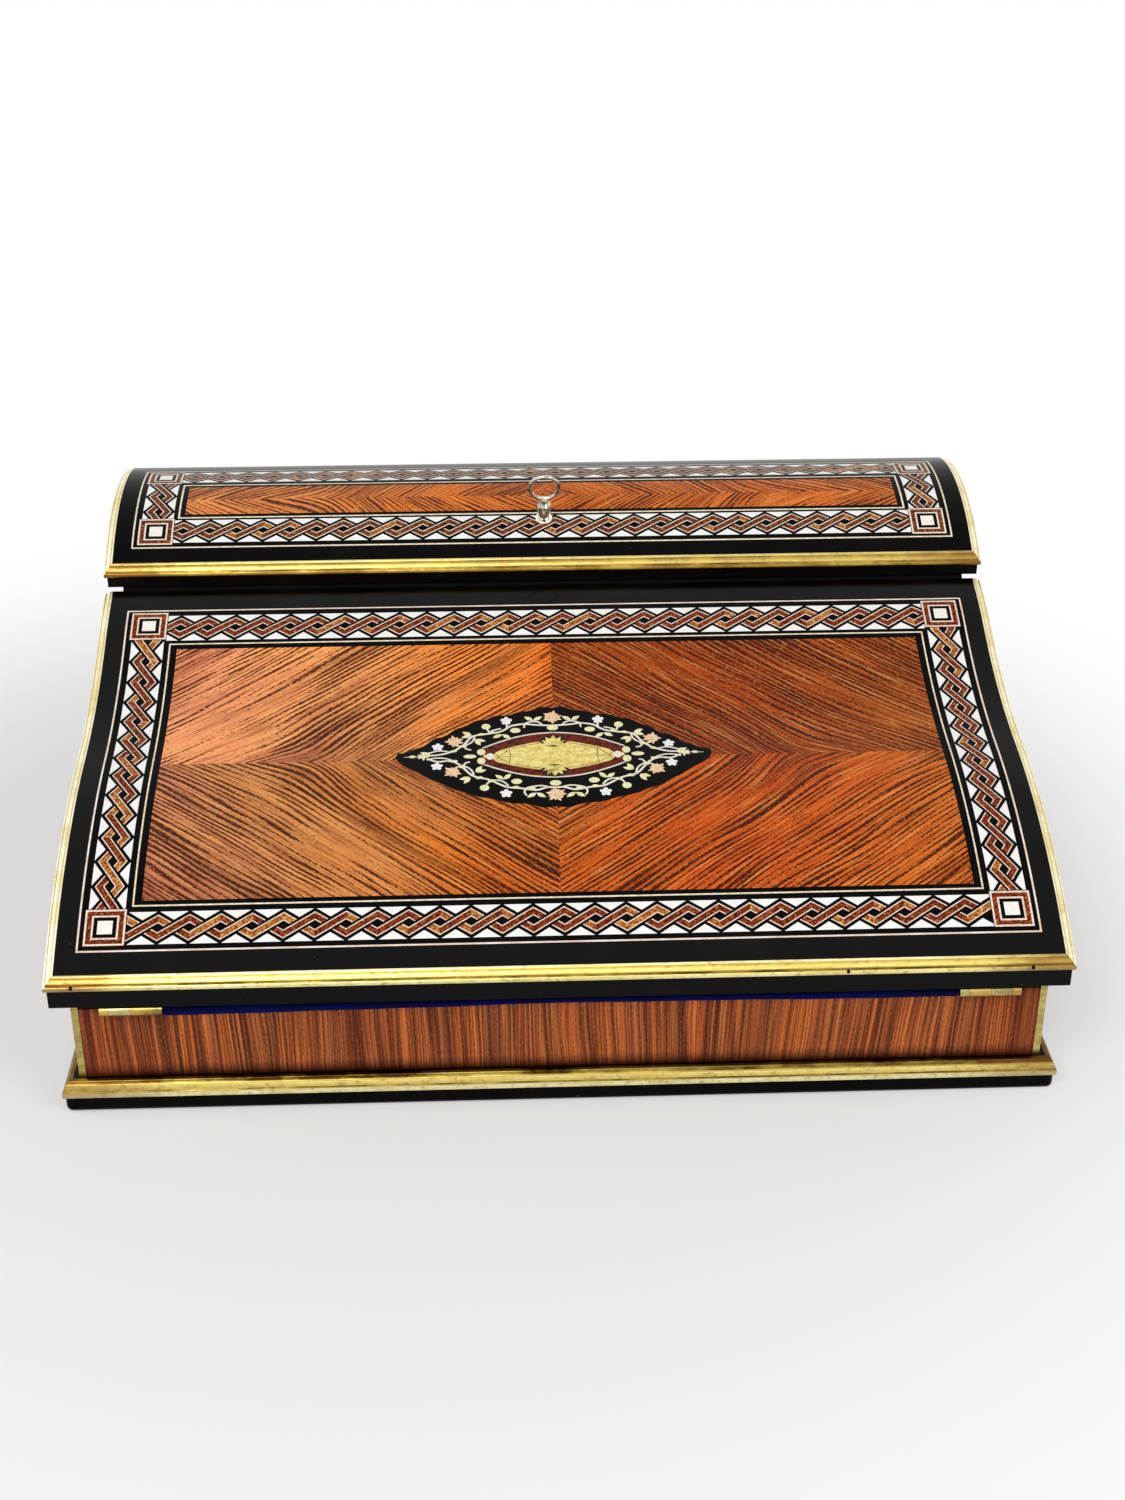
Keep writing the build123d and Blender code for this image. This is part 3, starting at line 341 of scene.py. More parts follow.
# ---------------- materials
class Figure:
    """A kingwood's figure: fields of noise drawn out along its grain."""

    def __init__(self, m, across, along, own, grit_long, fleck_long):
        self.m, self.across, self.along, self.own = m, across, along, own
        self.broad = self.field(0.10, 0.008, 1.0, 3.0)
        self.drift = self.field(0.09, 0.010, 2.0, 1.0, 0.5)
        self.shake = self.field(0.55, 0.06, 4.0)
        self.width = self.field(0.30, 0.035, 6.0)
        self.grit = self.field(2.2, grit_long, 12.0, 1.0)
        self.streak = self.field(1.15, 0.030, 15.0)
        self.fleck = self.field(1.9, fleck_long, 8.0, 2.0, 0.7)

    def field(self, wide, long, shift, detail=2.0, roughness=0.6):
        return self.m.noise(self.across * wide, self.along * long, self.own + shift, detail, roughness)

    def lines(self, pitch, wander, tremble, thickness, roughen):
        """Dark lines across the grain, as a sine that wanders and varies in thickness."""
        turn = self.across * (2 * math.pi / pitch) + (self.drift * wander + self.shake * tremble)
        return self.m.sine(turn) + ((self.width - 0.5) * thickness + (self.grit - 0.5) * roughen)

    def flecked(self, base, light):
        base = self.m.stain(base, self.fleck, 0.43, 0.30, 0.60, "#380e05")
        return self.m.stain(base, self.fleck, 0.57, 0.70, 0.30, light)

    def polished(self, base):
        return self.m.done(base, self.m.range(self.width, 0.3, 0.7, 0.36, 0.28), self.fleck, 0.10, 0.00004)


def quartered_kingwood(name, curve_middle, seam, tones, leaves):
    """Kingwood in four leaves that meet in a diamond: crisp dark lines on orange.

    The leaves' painted light and shade, as multipliers for how each leaf takes the light, come in the order
    left top, left low, right top, right low."""
    m = Shader(name, IOR=1.45, Specular_IOR_Level=0.1)
    x, s, _ = m.place(flat=True)
    down = s - curve_middle
    x = x - (down * 0.006 + 0.5)
    wave = m.noise(x * 0.014, s * 0.016, seam + 3.0, detail=1.0)
    side = abs(x)
    rise = abs(down)
    slant = math.radians(35)
    # the figure swells round a knot a third of the way out
    off_x = (side - 92.0) * (1 / 26.0)
    off_s = rise * (1 / 22.0)
    swell = 11.0 / (off_x * off_x + off_s * off_s + 1.0)
    across = side * math.sin(slant) + rise * math.cos(slant) + (wave * 5.0 + swell)
    along = side * math.cos(slant) - rise * math.sin(slant)
    right = x > 0.0
    top = down > 0.0
    figure = Figure(m, across, along, (right + top * 0.13) * 37.0 + seam, 0.7, 0.50)
    band = figure.field(0.035, 0.006, 9.0, 2.0, 0.55)
    # one tone runs into the next across the panel; each leaf gets its own painted light and shade for how it
    # takes the light
    base = m.ramp(m.range(x + (band - 0.5) * 150.0, -157.0, 157.0, 0.0, 1.0), tones)
    painted_left_top, painted_left_low, painted_right_top, painted_right_low = [(grey, grey, grey, 1) for grey in leaves]
    light = m.mix(right, m.mix(top, painted_left_low, painted_left_top), m.mix(top, painted_right_low, painted_right_top))
    base = m.mix(1.0, base, light, "MULTIPLY")
    shade = m.ramp(figure.broad, [(0.30, 0.50), (0.42, 0.86), (0.52, 1.0), (0.62, 0.95), (0.74, 0.72)])
    base = m.mix(1.0, base, shade, "MULTIPLY")
    base = m.stain(base, band, 0.48, 0.36, 0.45, "#882c0c")
    base = m.stain(base, figure.streak, 0.50, 0.36, 0.55, "#681a06")
    base = m.stain(base, figure.streak, 0.54, 0.66, 0.35, "#ffc070")
    # the lines crowd and thicken in some places, and leave others clear
    crowd = (figure.field(0.06, 0.014, 20.0) - 0.53) * 4.2
    line = figure.lines(2.15, 22.0, 2.6, 3.4, 2.2) + crowd
    dark = m.ramp(m.range(line, -1.0, 1.6, 0.0, 1.0), [(0.44, 0.0), (0.56, 0.88), (0.68, 1.0)])
    base = m.mix(dark * 0.94, base, "#3c0c04")
    return figure.polished(figure.flecked(base, "#ffbc70"))


def upright_kingwood(name, front, seam):
    """Kingwood whose grain stands upright, on the case's faces; its foot is darkened with painted shade where
    it meets the plinth.
    """
    m = Shader(name, IOR=1.45, Specular_IOR_Level=0.1)
    x, y, z = m.place()
    run = x if front else y
    lean = m.noise(run * 0.008, 1.7, seam, detail=1.0)
    wave = m.noise(run * 0.03, z * 0.02, seam + 5.0, detail=1.0)
    across = run + ((z * (lean - 0.5)) * 0.7 + wave * 3.0)
    figure = Figure(m, across, z * 0.3, seam, 2.4, 2.0)
    base = m.ramp(figure.field(0.075, 0.004, 9.0, 3.0, 0.62), [
        (0.30, "#2c140c"), (0.38, "#8c4428"), (0.43, "#e07c3c"), (0.47, "#cc7040"), (0.50, "#5c281a"),
        (0.54, "#a45838"), (0.58, "#c87844"), (0.62, "#40200f"), (0.68, "#b8643c")])
    base = m.mix(0.35, base, m.ramp(figure.broad, [
        (0.32, "#2c100a"), (0.44, "#a04c28"), (0.52, "#e88848"), (0.60, "#7c3c22"), (0.72, "#e09058")]))
    line = figure.lines(1.9, 40.0, 6.0, 4.4, 2.6)
    dark = m.ramp(m.range(line, -1.0, 1.6, 0.0, 1.0), [(0.42, 0.0), (0.62, 0.9), (0.76, 1.0)])
    base = m.stain(base, figure.streak, 0.50, 0.36, 0.60, "#3c140a")
    base = m.stain(base, figure.streak, 0.54, 0.66, 0.22, "#e8a070")
    base = m.mix(dark * 0.56, base, "#2c0d07")
    base = m.mix(1.0, base, (0.95, 0.84, 0.74, 1), "MULTIPLY")
    base = figure.flecked(base, "#d08850")
    # painted shade along the foot, where the case meets the plinth
    base = m.mix(m.range(z, 14.0, 19.0, 0.9, 0.0), base, "#240704")
    if front:
        base = m.mix(m.range(abs(x), 150.0, 182.0, 0.0, 0.45), base, "#5c1a0c")
    return figure.polished(base)


def ebony(name, shine=0.07):
    m = Shader(name, IOR=1.4, Specular_IOR_Level=shine)
    cloud = m.cloud(0.05, 0.05, 0.05, 3.0)
    scratch = m.cloud(0.09, 1.3, 1.3, 3.0, 0.7)
    dust = m.cloud(0.75, 0.75, 0.75, 1.0)
    base = m.ramp(cloud, [(0.3, "#030202"), (0.6, "#070505"), (0.8, "#100b0a")])
    base = m.stain(base, dust, 0.80, 0.84, 0.4, "#8c8680")
    return m.done(base, m.range(scratch, 0.35, 0.7, 0.10, 0.24), scratch, 0.04, 0.00004)


def inlay(name, low, high, gloss=0.3, scale=0.6, coat=0.25, shine=0.5):
    """Small pieces of one timber, shell or bone, a little different from place to place."""
    m = Shader(name, Coat_Weight=coat, Coat_Roughness=0.12, Specular_IOR_Level=shine)
    spot = m.cloud(scale, scale, scale, 3.0, 0.65)
    return m.done(m.ramp(spot, [(0.36, low), (0.62, high)]), m.range(spot, 0.3, 0.7, gloss, gloss + 0.12))


def ribbon_wood(name, stops):
    """Burr timber of the braid: mottled in spots of about a millimetre."""
    m = Shader(name, Specular_IOR_Level=0.1)
    spot = m.cloud(0.9, 0.9, 0.9, 3.0, 0.75)
    return m.done(m.ramp(spot, stops), m.range(spot, 0.3, 0.7, 0.3, 0.42))


def brass(name, bright="#f4e48c", mid="#d8bc5c", tarnish="#6c4418", amount=0.6, rough=(0.20, 0.40),
          bands=None, ends=0.0):
    """Worn brass: brown tarnish in patches, fine drawn lines, darker near its mitres; colour bands across a
    moulding's section paint its highlights and reflections, and the shade and tarnish of its grooves.
    """
    m = Shader(name, Metallic=1.0)
    cloud = m.cloud(0.035, 0.05, 0.12, 4.0, 0.65)
    spots = m.cloud(0.35, 0.35, 0.5, 4.0, 0.7)
    drawn = m.cloud(0.10, 2.2, 2.2)
    # bands across the section: painted highlights and reflections, painted shade with some tarnish in the
    # grooves
    if bands:
        reach = 12.5
        across = m.place(flat=True)[1] + (spots - 0.5) * 0.25
        base = m.ramp(across * (1.0 / reach), [(a / reach, colour) for a, colour in bands])
        base = m.stain(base, cloud, 0.56, 0.38, 0.5, mid)
    else:
        base = m.ramp(cloud, [(0.35, mid), (0.62, bright)])
    dull = m.ramp(spots, [(0.30, 1.0), (0.44, 0.25), (0.55, 0.0)])
    base = m.mix(dull * amount, base, tarnish)
    if ends:
        near = m.range(abs(m.place()[0]), 120.0, 188.0, -0.25, 0.45)
        base = m.stain(base, near + cloud, 0.55, 0.80, ends, "#7c5220")
    polish = m.range(spots * 0.5 + drawn * 0.5, 0.35, 0.65, rough[1], rough[0])
    return m.done(base, polish, drawn, 0.10, 0.00004)


def plain_metal(name, colour, rough, other):
    m = Shader(name, Metallic=1.0)
    cloud = m.cloud(0.4, 0.4, 0.4, 3.0)
    base = m.ramp(cloud, [(0.35, other), (0.6, colour)])
    return m.done(base, m.range(cloud, 0.3, 0.7, rough + 0.12, rough))


def plain_wood(name, low, high):
    m = Shader(name, Coat_Weight=0.1)
    x, y, z = m.place()
    grain = m.noise(y * 0.5, x * 0.012, z * 0.4, 4.0, 0.6)
    pores = m.noise(y * 3.0, x * 0.08, z * 2.0)
    base = m.stain(m.ramp(grain, [(0.32, low), (0.62, high)]), pores, 0.45, 0.3, 0.5, low)
    return m.done(base, m.range(grain, 0.3, 0.7, 0.5, 0.38), pores, 0.2, 0.0001)


def covering(name, low, high, leather=False):
    """Woven cloth, or leather."""
    shine, sheen, smooth, rough = (0.3, 0.05, 0.45, 0.6) if leather else (0.05, 0.08, 0.8, 0.95)
    m = Shader(name, Specular_IOR_Level=shine, Sheen_Weight=sheen)
    if leather:
        weave = m.cloud(1.6, 1.6, 1.6, 4.0, 0.6)
    else:
        thread = 2 * math.pi / 0.35
        x, y, z = m.place()
        weave = m.sine(x * thread) * m.sine((y + z) * thread) * 0.5 + 0.5
    wear = m.cloud(0.06, 0.3, 0.3, 3.0)
    base = m.mix(weave * 0.35, m.ramp(wear, [(0.35, low), (0.7, high)]), high)
    return m.done(base, m.range(wear, 0.3, 0.7, smooth, rough), weave, 0.3, 0.0002)


def glass(name):
    m = Shader(name, Transmission_Weight=1.0, IOR=1.5)
    ripple = m.cloud(0.15, 0.15, 0.15)
    base = m.ramp(ripple, [(0.3, "#e4f0ec"), (0.7, "#f4fbf8")])
    return m.done(base, m.range(ripple, 0.3, 0.7, 0.01, 0.05))


EBONY = ebony("ebonised_wood")
EBONY_EDGE = ebony("ebonised_edge", 0.16)
# the last tuple of each panel: painted light and shade of its four leaves
KINGWOOD_FLAP = quartered_kingwood(
    "kingwood_flap", 105.6, 0.0,
    [(0.0, "#ffa272"), (0.22, "#ffa55d"), (0.40, "#ff8c32"), (0.55, "#ff721d"), (0.78, "#f86720"),
     (1.0, "#ff812b")],
    (1.16, 0.79, 0.47, 0.77))
KINGWOOD_LID = quartered_kingwood(
    "kingwood_lid", 42.5, 21.0,
    [(0.0, "#ff9d5a"), (0.3, "#ff8b37"), (0.5, "#ff8029"), (1.0, "#f8802d")], (0.93, 0.96, 0.86, 0.90))
KINGWOOD_FRONT = upright_kingwood("kingwood_front", True, 40.0)
KINGWOOD_SIDE = upright_kingwood("kingwood_side", False, 55.0)
MAHOGANY = plain_wood("carcass_mahogany", "#3c170c", "#70351c")
BONE = inlay("bone_inlay", "#f8f6ee", "#ffffff", 0.25, 0.25)
CREAM = inlay("holly_string", "#e4cca4", "#fff8e0", 0.35, 0.5)
ROSE = inlay("rose_string", "#ecc8b0", "#fff4e8", 0.35, 0.12)
SHELL = inlay("pearl_square", "#fcf2dc", "#ffffff", 0.18, 0.4, 0.3)
RIBBON = ribbon_wood(
    "burr_ribbon", [(0.30, "#2c0602"), (0.44, "#5c1606"), (0.56, "#903c14"), (0.70, "#d09450")])
RIBBON_LIGHT = ribbon_wood(
    "burr_ribbon_light", [(0.32, "#501806"), (0.44, "#984c18"), (0.56, "#c88030"), (0.68, "#f4cc88")])
RIBBON_LID = ribbon_wood(
    "burr_ribbon_lid", [(0.30, "#2c0e06"), (0.44, "#541f0c"), (0.56, "#884420"), (0.70, "#c08c54")])
LID_EDGE = inlay("ribbon_edge_lid", "#ecd4b8", "#fff4e4", 0.35, 0.8)
RIBBON_EDGE = inlay("ribbon_edge", "#e8c0a8", "#fff4e4", 0.35, 0.8)
# mouldings: colours at lengths across their section, from the inner edge outwards and down: painted
# highlights and reflections, and painted shade with some tarnish in the grooves
BRASS = brass("brass_moulding", ends=0.75, bands=[
    (0.0, "#fffbd0"), (0.55, "#fdf0a8"), (0.8, "#b8983c"), (1.2, "#dcc468"), (2.4, "#f0dc80"),
    (2.7, "#a88c34"), (2.85, "#4c3c0c"), (3.5, "#50400c"), (3.7, "#f0e090"), (4.6, "#fff8bc"),
    (5.4, "#d4b858"), (6.2, "#8c7028")])
# the lid's front moulding: a darker copy, with painted shade towards its outer face
BRASS_LID_SHADED = brass("brass_lid_moulding_painted_shade", ends=0.6, bands=[
    (0.0, "#e8d8a0"), (0.6, "#d4c07c"), (0.9, "#80662c"), (1.6, "#b09448"), (2.6, "#ccb468"),
    (3.0, "#483410"), (3.5, "#806024"), (4.2, "#947430"), (5.0, "#6c4c1c"), (5.8, "#40280c")])
# the side mouldings: nearly white painted reflections
BRASS_SIDE_PAINTED_REFLECTION = brass("brass_side_moulding_painted_reflection", amount=0.2, bands=[
    (0.0, "#f8ecb8"), (0.5, "#fffff4"), (0.8, "#bca464"), (1.3, "#fff4c4"), (2.7, "#fffff0"),
    (3.0, "#bca45c"), (3.4, "#ecdc9c"), (3.7, "#fffff0"), (5.4, "#fffce0"), (6.2, "#d0b870")])
# plinth: painted highlights on its bead, and a painted dark reflection of the case in its upper cove
BRASS_FOOT_PAINTED_LIGHT = brass("brass_plinth_moulding_painted_light", ends=0.5, bands=[
    (3.6, "#b89c4c"), (3.9, "#fff6b8"), (5.8, "#fffbc8"), (6.2, "#8c7428"), (6.45, "#54440e"),
    (6.8, "#54440e"), (7.05, "#e0c86c"), (8.6, "#f4e08c"), (9.2, "#a88c40"), (9.6, "#4c3810"),
    (10.1, "#2c200c"), (10.6, "#3c2c10"), (11.2, "#30240c")])
BRASS_STRIP = brass("brass_corner_strip", "#d0c078", "#a08c48", "#5c4418", 0.6)
BRASS_FITTING = brass("brass_fittings", "#fff0b4", "#e8cc80", "#7a5828", 0.3, (0.2, 0.36))
# knuckles: a darker copy of the brass, painted shade of the seam under the flap
BRASS_KNUCKLE_SHADED = brass("brass_knuckles_painted_shade", "#d4c484", "#8c7a44", "#443414", 0.6, (0.14, 0.30))
BRASS_LEAF = brass("brass_leaves", "#d8b868", "#a8843c", "#5c3c18", 0.5, (0.25, 0.42))
PALE_BRASS = brass("pale_brass", "#fffdf0", "#e4dcc0", "#8c7a50", 0.4, (0.16, 0.32))
PIN = plain_metal("pin_iron", "#2c2018", 0.4, "#0c0806")
NICKEL = plain_metal("nickel", "#dcd6c8", 0.1, "#8c8474")
STEEL = plain_metal("steel", "#a4a09a", 0.35, "#6c6862")
LEAF_BRASS = inlay("leaf_brass", "#e8dc94", "#fffad0", 0.3, 0.7, 0.2)
BRASS_INLAY = inlay("brass_inlay", "#dcbc4c", "#fff094", 0.28, 0.45, 0.2)
TORTOISE = inlay("tortoiseshell", "#180402", "#84240c", 0.15, 0.5, 0.0, 0.1)
ENGRAVED = inlay("engraved_line", "#1c1004", "#3c2408", 0.3, 0.5, 0.0, 0.1)
VINE = inlay("vine_bone", "#ece4cc", "#fffcee", 0.3, 0.5, 0.1)
PEARL = inlay("pearl", "#f0ece8", "#ffffff", 0.15, 0.8, 0.3)
COPPER = inlay("copper_flowers", "#ec9458", "#faf0cc", 0.3, 1.3, 0.1)
CLOTH = covering("blue_cloth", "#000230", "#040c58")
LEATHER = covering("blue_leather", "#0c1c4c", "#1c3478", leather=True)
GLASS = glass("clear_glass")

# ---------------- carried-over CAD nodes
BY_SLOT = {
    "ebonised_wood": EBONY, "carcass_wood": MAHOGANY, "kingwood_veneer": KINGWOOD_FRONT,
    "marquetry": EBONY, "tortoiseshell_and_brass": TORTOISE, "brass_moulding": BRASS,
    "brass_fittings": BRASS_FITTING, "steel": STEEL, "nickel": NICKEL, "blue_cloth": CLOTH,
    "blue_leather": LEATHER, "clear_glass": GLASS,
}
BY_NODE = {
    "veneer_left": KINGWOOD_SIDE, "veneer_right": KINGWOOD_SIDE, "divider": EBONY,
    "escutcheon": PALE_BRASS, "corner_strips": BRASS_STRIP, "flap_hinge_flap_leaves": BRASS_LEAF,
    "lid_hinge_lid_leaves": BRASS_LEAF, "flap_board": EBONY_EDGE,
    "flap_hinge_case_leaves": BRASS_KNUCKLE_SHADED, "moulding_pins": PIN, "flap_writing_panel": MAHOGANY,
}
for entry in frame["record"]["subparts"]:
    materials = NODES[entry["node"]].data.materials
    materials.clear()
    materials.append(BY_NODE.get(entry["node"], BY_SLOT[entry["material_slot"]]))

# ---------------- braided border
PITCH, BAND = 11.58, 13.9        # of one link of the braid, and the band's width
LOW_V, HIGH_V = 3.3, 10.6        # middle line of the braid at its lower and upper bends
BEND_GAP = 2.4                   # from a link's cut end to the next link's middle
CORNER = 7.9                     # half of a corner left free of braid
CORNER_X = 168.9                 # middle of the corner squares
SIDE_X, SIDE_STRETCH = 168.7, 1.03      # middle of the side bands, which are a little wider
TRIANGLE_GAP, TRIANGLE_EDGE, TRIANGLE_TIP = 0.6, 0.35, 3.75
LIGHT_BARS, LIGHT_STUBS = 0.10, 0.3     # share of the links' parts that are of lighter wood
SQUARE_HALF, SHELL_HALF = 7.55, 2.8     # of a corner square, and of the shell at its middle
FRONT_LINKS = 26                 # links of a front or back run, before it is clipped
OUTER_LINE = 0.7                 # width of the string along the outer edge


def cross_line(p, d, q, e):
    """Where the line through p along d meets the line through q along e."""
    denominator = d[0] * e[1] - d[1] * e[0]
    t = ((q[0] - p[0]) * e[1] - (q[1] - p[1]) * e[0]) / denominator
    return (p[0] + t * d[0], p[1] + t * d[1])


def link_pieces(offset):
    """One link of the braid, from its lower bend at (0, LOW_V), as a stub, a bar and a stub."""
    size = math.hypot(PITCH, HIGH_V - LOW_V)
    bar = (PITCH / size, (HIGH_V - LOW_V) / size)
    stub = (bar[0], -bar[1])
    low, high = (0.0, LOW_V), (PITCH, HIGH_V)
    normal_bar, normal_stub = (-bar[1], bar[0]), (-stub[1], stub[0])

    def moved(point, normal, distance):
        return (point[0] + normal[0] * distance, point[1] + normal[1] * distance)

    # both ends are cut parallel to the bar
    gap = PITCH * bar[1] - BEND_GAP
    cut_low, cut_high = moved(low, normal_bar, gap), moved(high, normal_bar, -gap)

    def side(d):
        a, b, c = moved(low, normal_stub, d), moved(low, normal_bar, d), moved(high, normal_stub, d)
        return [
            cross_line(a, stub, cut_low, bar), cross_line(a, stub, b, bar),
            cross_line(b, bar, c, stub), cross_line(c, stub, cut_high, bar),
        ]

    near, far = side(offset), side(-offset)
    return [[near[i], near[i + 1], far[i + 1], far[i]] for i in range(3)]


def clip(points, low, high):
    """Part of a convex outline between two values of its first coordinate."""
    for bound, sign in ((low, 1), (high, -1)):
        out = []
        for (ax, ay), (bx, by) in zip(points, points[1:] + points[:1]):
            a_in, b_in = sign * (ax - bound) >= 0, sign * (bx - bound) >= 0
            if a_in:
                out.append((ax, ay))
            if a_in != b_in:
                t = (bound - ax) / (bx - ax)
                out.append((bound, ay + t * (by - ay)))
        points = out
    return points


random.seed(7)
# each kind of piece stands out a little further than what it lies on
HEIGHT = {"edge": 0.030, "core": 0.055, "core_light": 0.055, "white": 0.035}
LINK = {"edge": link_pieces(1.48), "core": link_pieces(1.06)}


def braid(target, start, count, low, high, place):
    """A run of braid between two ends, in band coordinates, put down by place."""
    def put(key, points):
        shape = clip(points, low, high)
        if len(shape) >= 3:
            prism(target[key], [place(a, b) for a, b in shape], SUNK, HEIGHT[key])

    for i in range(-2, count + 1):
        u = start + i * PITCH
        bar_is_light = random.random() < LIGHT_BARS
        stubs_are_light = random.random() < LIGHT_STUBS
        for kind, pieces in LINK.items():
            for j, piece in enumerate(pieces):
                light = kind == "core" and (bar_is_light if j == 1 else stubs_are_light)
                put("core_light" if light else kind, [(u + a, b) for a, b in piece])
        left, middle, right = u + TRIANGLE_GAP, u + PITCH / 2, u + PITCH - TRIANGLE_GAP
        put("white", [(left, TRIANGLE_EDGE), (right, TRIANGLE_EDGE), (middle, TRIANGLE_TIP)])
        edge, tip = BAND - TRIANGLE_EDGE, BAND - TRIANGLE_TIP
        put("white", [(left, edge), (right, edge), (middle, tip)])


def corner_square(target, x, s):
    """Nested squares of a corner."""
    half = SQUARE_HALF
    for key, width, height in (("edge", 0.75, 0.03), ("core", 1.8, 0.035), ("edge", 0.7, 0.03)):
        ring(target[key], x - half, x + half, s - half, s + half, width, SUNK, height)
        half -= width
    half = SHELL_HALF
    slab(target["shell"], x - half, x + half, s - half, s + half, 1, SUNK, 0.04)


MARQUETRY = {"edge": RIBBON_EDGE, "core": RIBBON, "core_light": RIBBON_LIGHT, "white": BONE,
             "shell": SHELL, "cream": CREAM, "rose": ROSE}


def border(name, curve, body, step, node, ground, panel, outer, inner, inner_width, rows, runs, own=None):
    """A flap's or lid's border: black ground, string lines, four runs of braid and corners.

    Rectangles are half width, near and far length; rows are where the front and back bands start;
    runs are those bands' first link, base and stretch."""
    target = {key: bmesh.new() for key in MARQUETRY}
    (x_out, s0, s1), (x_in, p0, p1) = ground, panel
    base = bmesh.new()
    for strip in mitred_strips((-x_out, x_out, s0, s1), (-x_in, x_in, p0, p1)):
        prism(base, strip, BED, 0.0)
    ring(target["rose"], -outer[0], outer[0], outer[1], outer[2], OUTER_LINE, SUNK, 0.03)
    ring(target["cream"], -inner[0], inner[0], inner[1], inner[2], inner_width, SUNK, 0.04)
    end = CORNER_X - CORNER
    for start, low, tall in runs:
        braid(target, start, FRONT_LINKS, -end, end, lambda a, b, low=low, tall=tall: (a, low + tall * b))
    front, back = [row + BAND / 2 for row in rows]
    side_low, side_high = front + CORNER, back - CORNER
    count = int((side_high - side_low) / PITCH) + 1
    # the side runs are counted down from the back corners
    for sign, last in ((-1, side_high - 11.8), (1, side_high - 12.3)):
        braid(target, last - count * PITCH, count + 1, side_low, side_high,
              lambda a, b, sign=sign: (sign * SIDE_X + SIDE_STRETCH * (BAND / 2 - b), a))
    for x in (-CORNER_X, CORNER_X):
        for s in (front, back):
            corner_square(target, x, s)
    lay(base, curve, step)
    add_piece(name + "_ground", base, EBONY, body, "marquetry", node)
    materials = {**MARQUETRY, **(own or {})}
    for key, bm in target.items():
        lay(bm, curve, step)
        add_piece(f"{name}_{key}", bm, materials[key], body, "marquetry", node)


FLAP_PANEL, LID_PANEL = (156.2, 34.6, 175.2), (157.0, 31.8, 53.2785)
border("flap_braid", FLAP, "flap", FLAP_STEP, "flap_border",
       ground=(178.8, 13.3, 198.3), panel=FLAP_PANEL, outer=(178.8, 13.3, 197.5),
       inner=(159.6, 32.05, 178.3), inner_width=0.65, rows=(16.5, 181.35),
       runs=((-149.5, 15.76, 1.028), (-144.0, 179.6, 1.06)))
border("lid_braid", LID, "lid", LID_STEP, "lid_border",
       ground=(178.8, 11.9, 75.0785), panel=LID_PANEL, outer=(178.8, 11.9, 75.0785),
       inner=(160.0, 29.2, 55.85), inner_width=0.8, rows=(14.5, 58.2),
       runs=((-145.6, 14.5, 1.0), (-144.0, 58.2, 1.0)),
       own={"core": RIBBON_LID, "edge": LID_EDGE, "rose": CREAM})

# ---------------- kingwood panels
for name, curve, body, step, material, node, (half, near, far) in (
    ("flap_kingwood", FLAP, "flap", FLAP_STEP, KINGWOOD_FLAP, "flap_veneer", FLAP_PANEL),
    ("lid_kingwood", LID, "lid", LID_STEP, KINGWOOD_LID, "lid_veneer", LID_PANEL),
):
    bm = bmesh.new()
    slab(bm, -half, half, near, far, 8, BED, 0.015)
    lay(bm, curve, step)
    add_piece(name, bm, material, body, "kingwood_veneer", node)

# ---------------- brass mouldings
# outer face at u = 0, top at depth 0: a fine inner fillet, a cove, a groove and a bead
RIM = [(3.6, 0.0), (3.25, -0.02), (3.0, 0.05), (2.85, 0.22), (2.6, 0.20), (2.1, 0.26), (1.6, 0.42),
       (1.15, 0.68), (0.95, 0.90), (0.86, 1.06), (0.72, 1.06), (0.60, 0.92), (0.42, 0.88),
       (0.20, 0.98), (0.05, 1.22), (0.0, 1.50), (0.03, 1.80), (0.14, 2.08), (0.30, 2.30),
       (0.55, 2.46), (1.2, 2.58), (3.6, 2.58)]
# plinth, from the outer face inwards and by height: a bead, a groove and a leaning cove under a fine line
FOOT = [(3.9, 6.9), (0.2, 6.9), (0.02, 7.1), (0.0, 7.7), (0.0, 8.9), (0.08, 9.3), (0.28, 9.52),
        (0.42, 9.58), (0.54, 9.68), (0.66, 10.3), (0.86, 11.1), (1.16, 11.8), (1.45, 12.15), (1.8, 12.42),
        (1.92, 12.5), (2.0, 12.9), (2.2, 13.3), (2.5, 13.4), (3.9, 13.4)]


def moulding(name, paths, profile, body, node, material):
    bm = bmesh.new()
    sweep(bm, paths, profile)
    add_piece(name, bm, material, body, "brass_moulding", node, sharp=50)


def rim_point(curve, x, y, depth):
    """Point of a rim over a place in plan, a depth below the curve."""
    return metres(x, y, walk(curve, length_at(curve, y, depth), depth)[1])


def rim_end(curve, y_edge, inward):
    """Rim along X at one end of a curve, mitred at both ends."""
    first, last = [[rim_point(curve, side * (HALF_WIDTH - u - MITRE), y_edge + inward * u, depth)
                    for u, depth in RIM] for side in (-1, 1)]
    return sections_between(first, last, 60)


def rim_side(curve, side, y_near, y_far, mitred_far):
    """Rim along one side of a curve, mitred at its near end, and at its far end if asked."""
    count = 90
    paths = []
    for i in range(count + 1):
        section = []
        for u, depth in RIM:
            low = y_near + (u + MITRE)
            high = y_far - (u + MITRE if mitred_far else 0.0)
            section.append(rim_point(curve, side * (HALF_WIDTH - u), low + (high - low) * (i / count), depth))
        paths.append(section)
    return paths


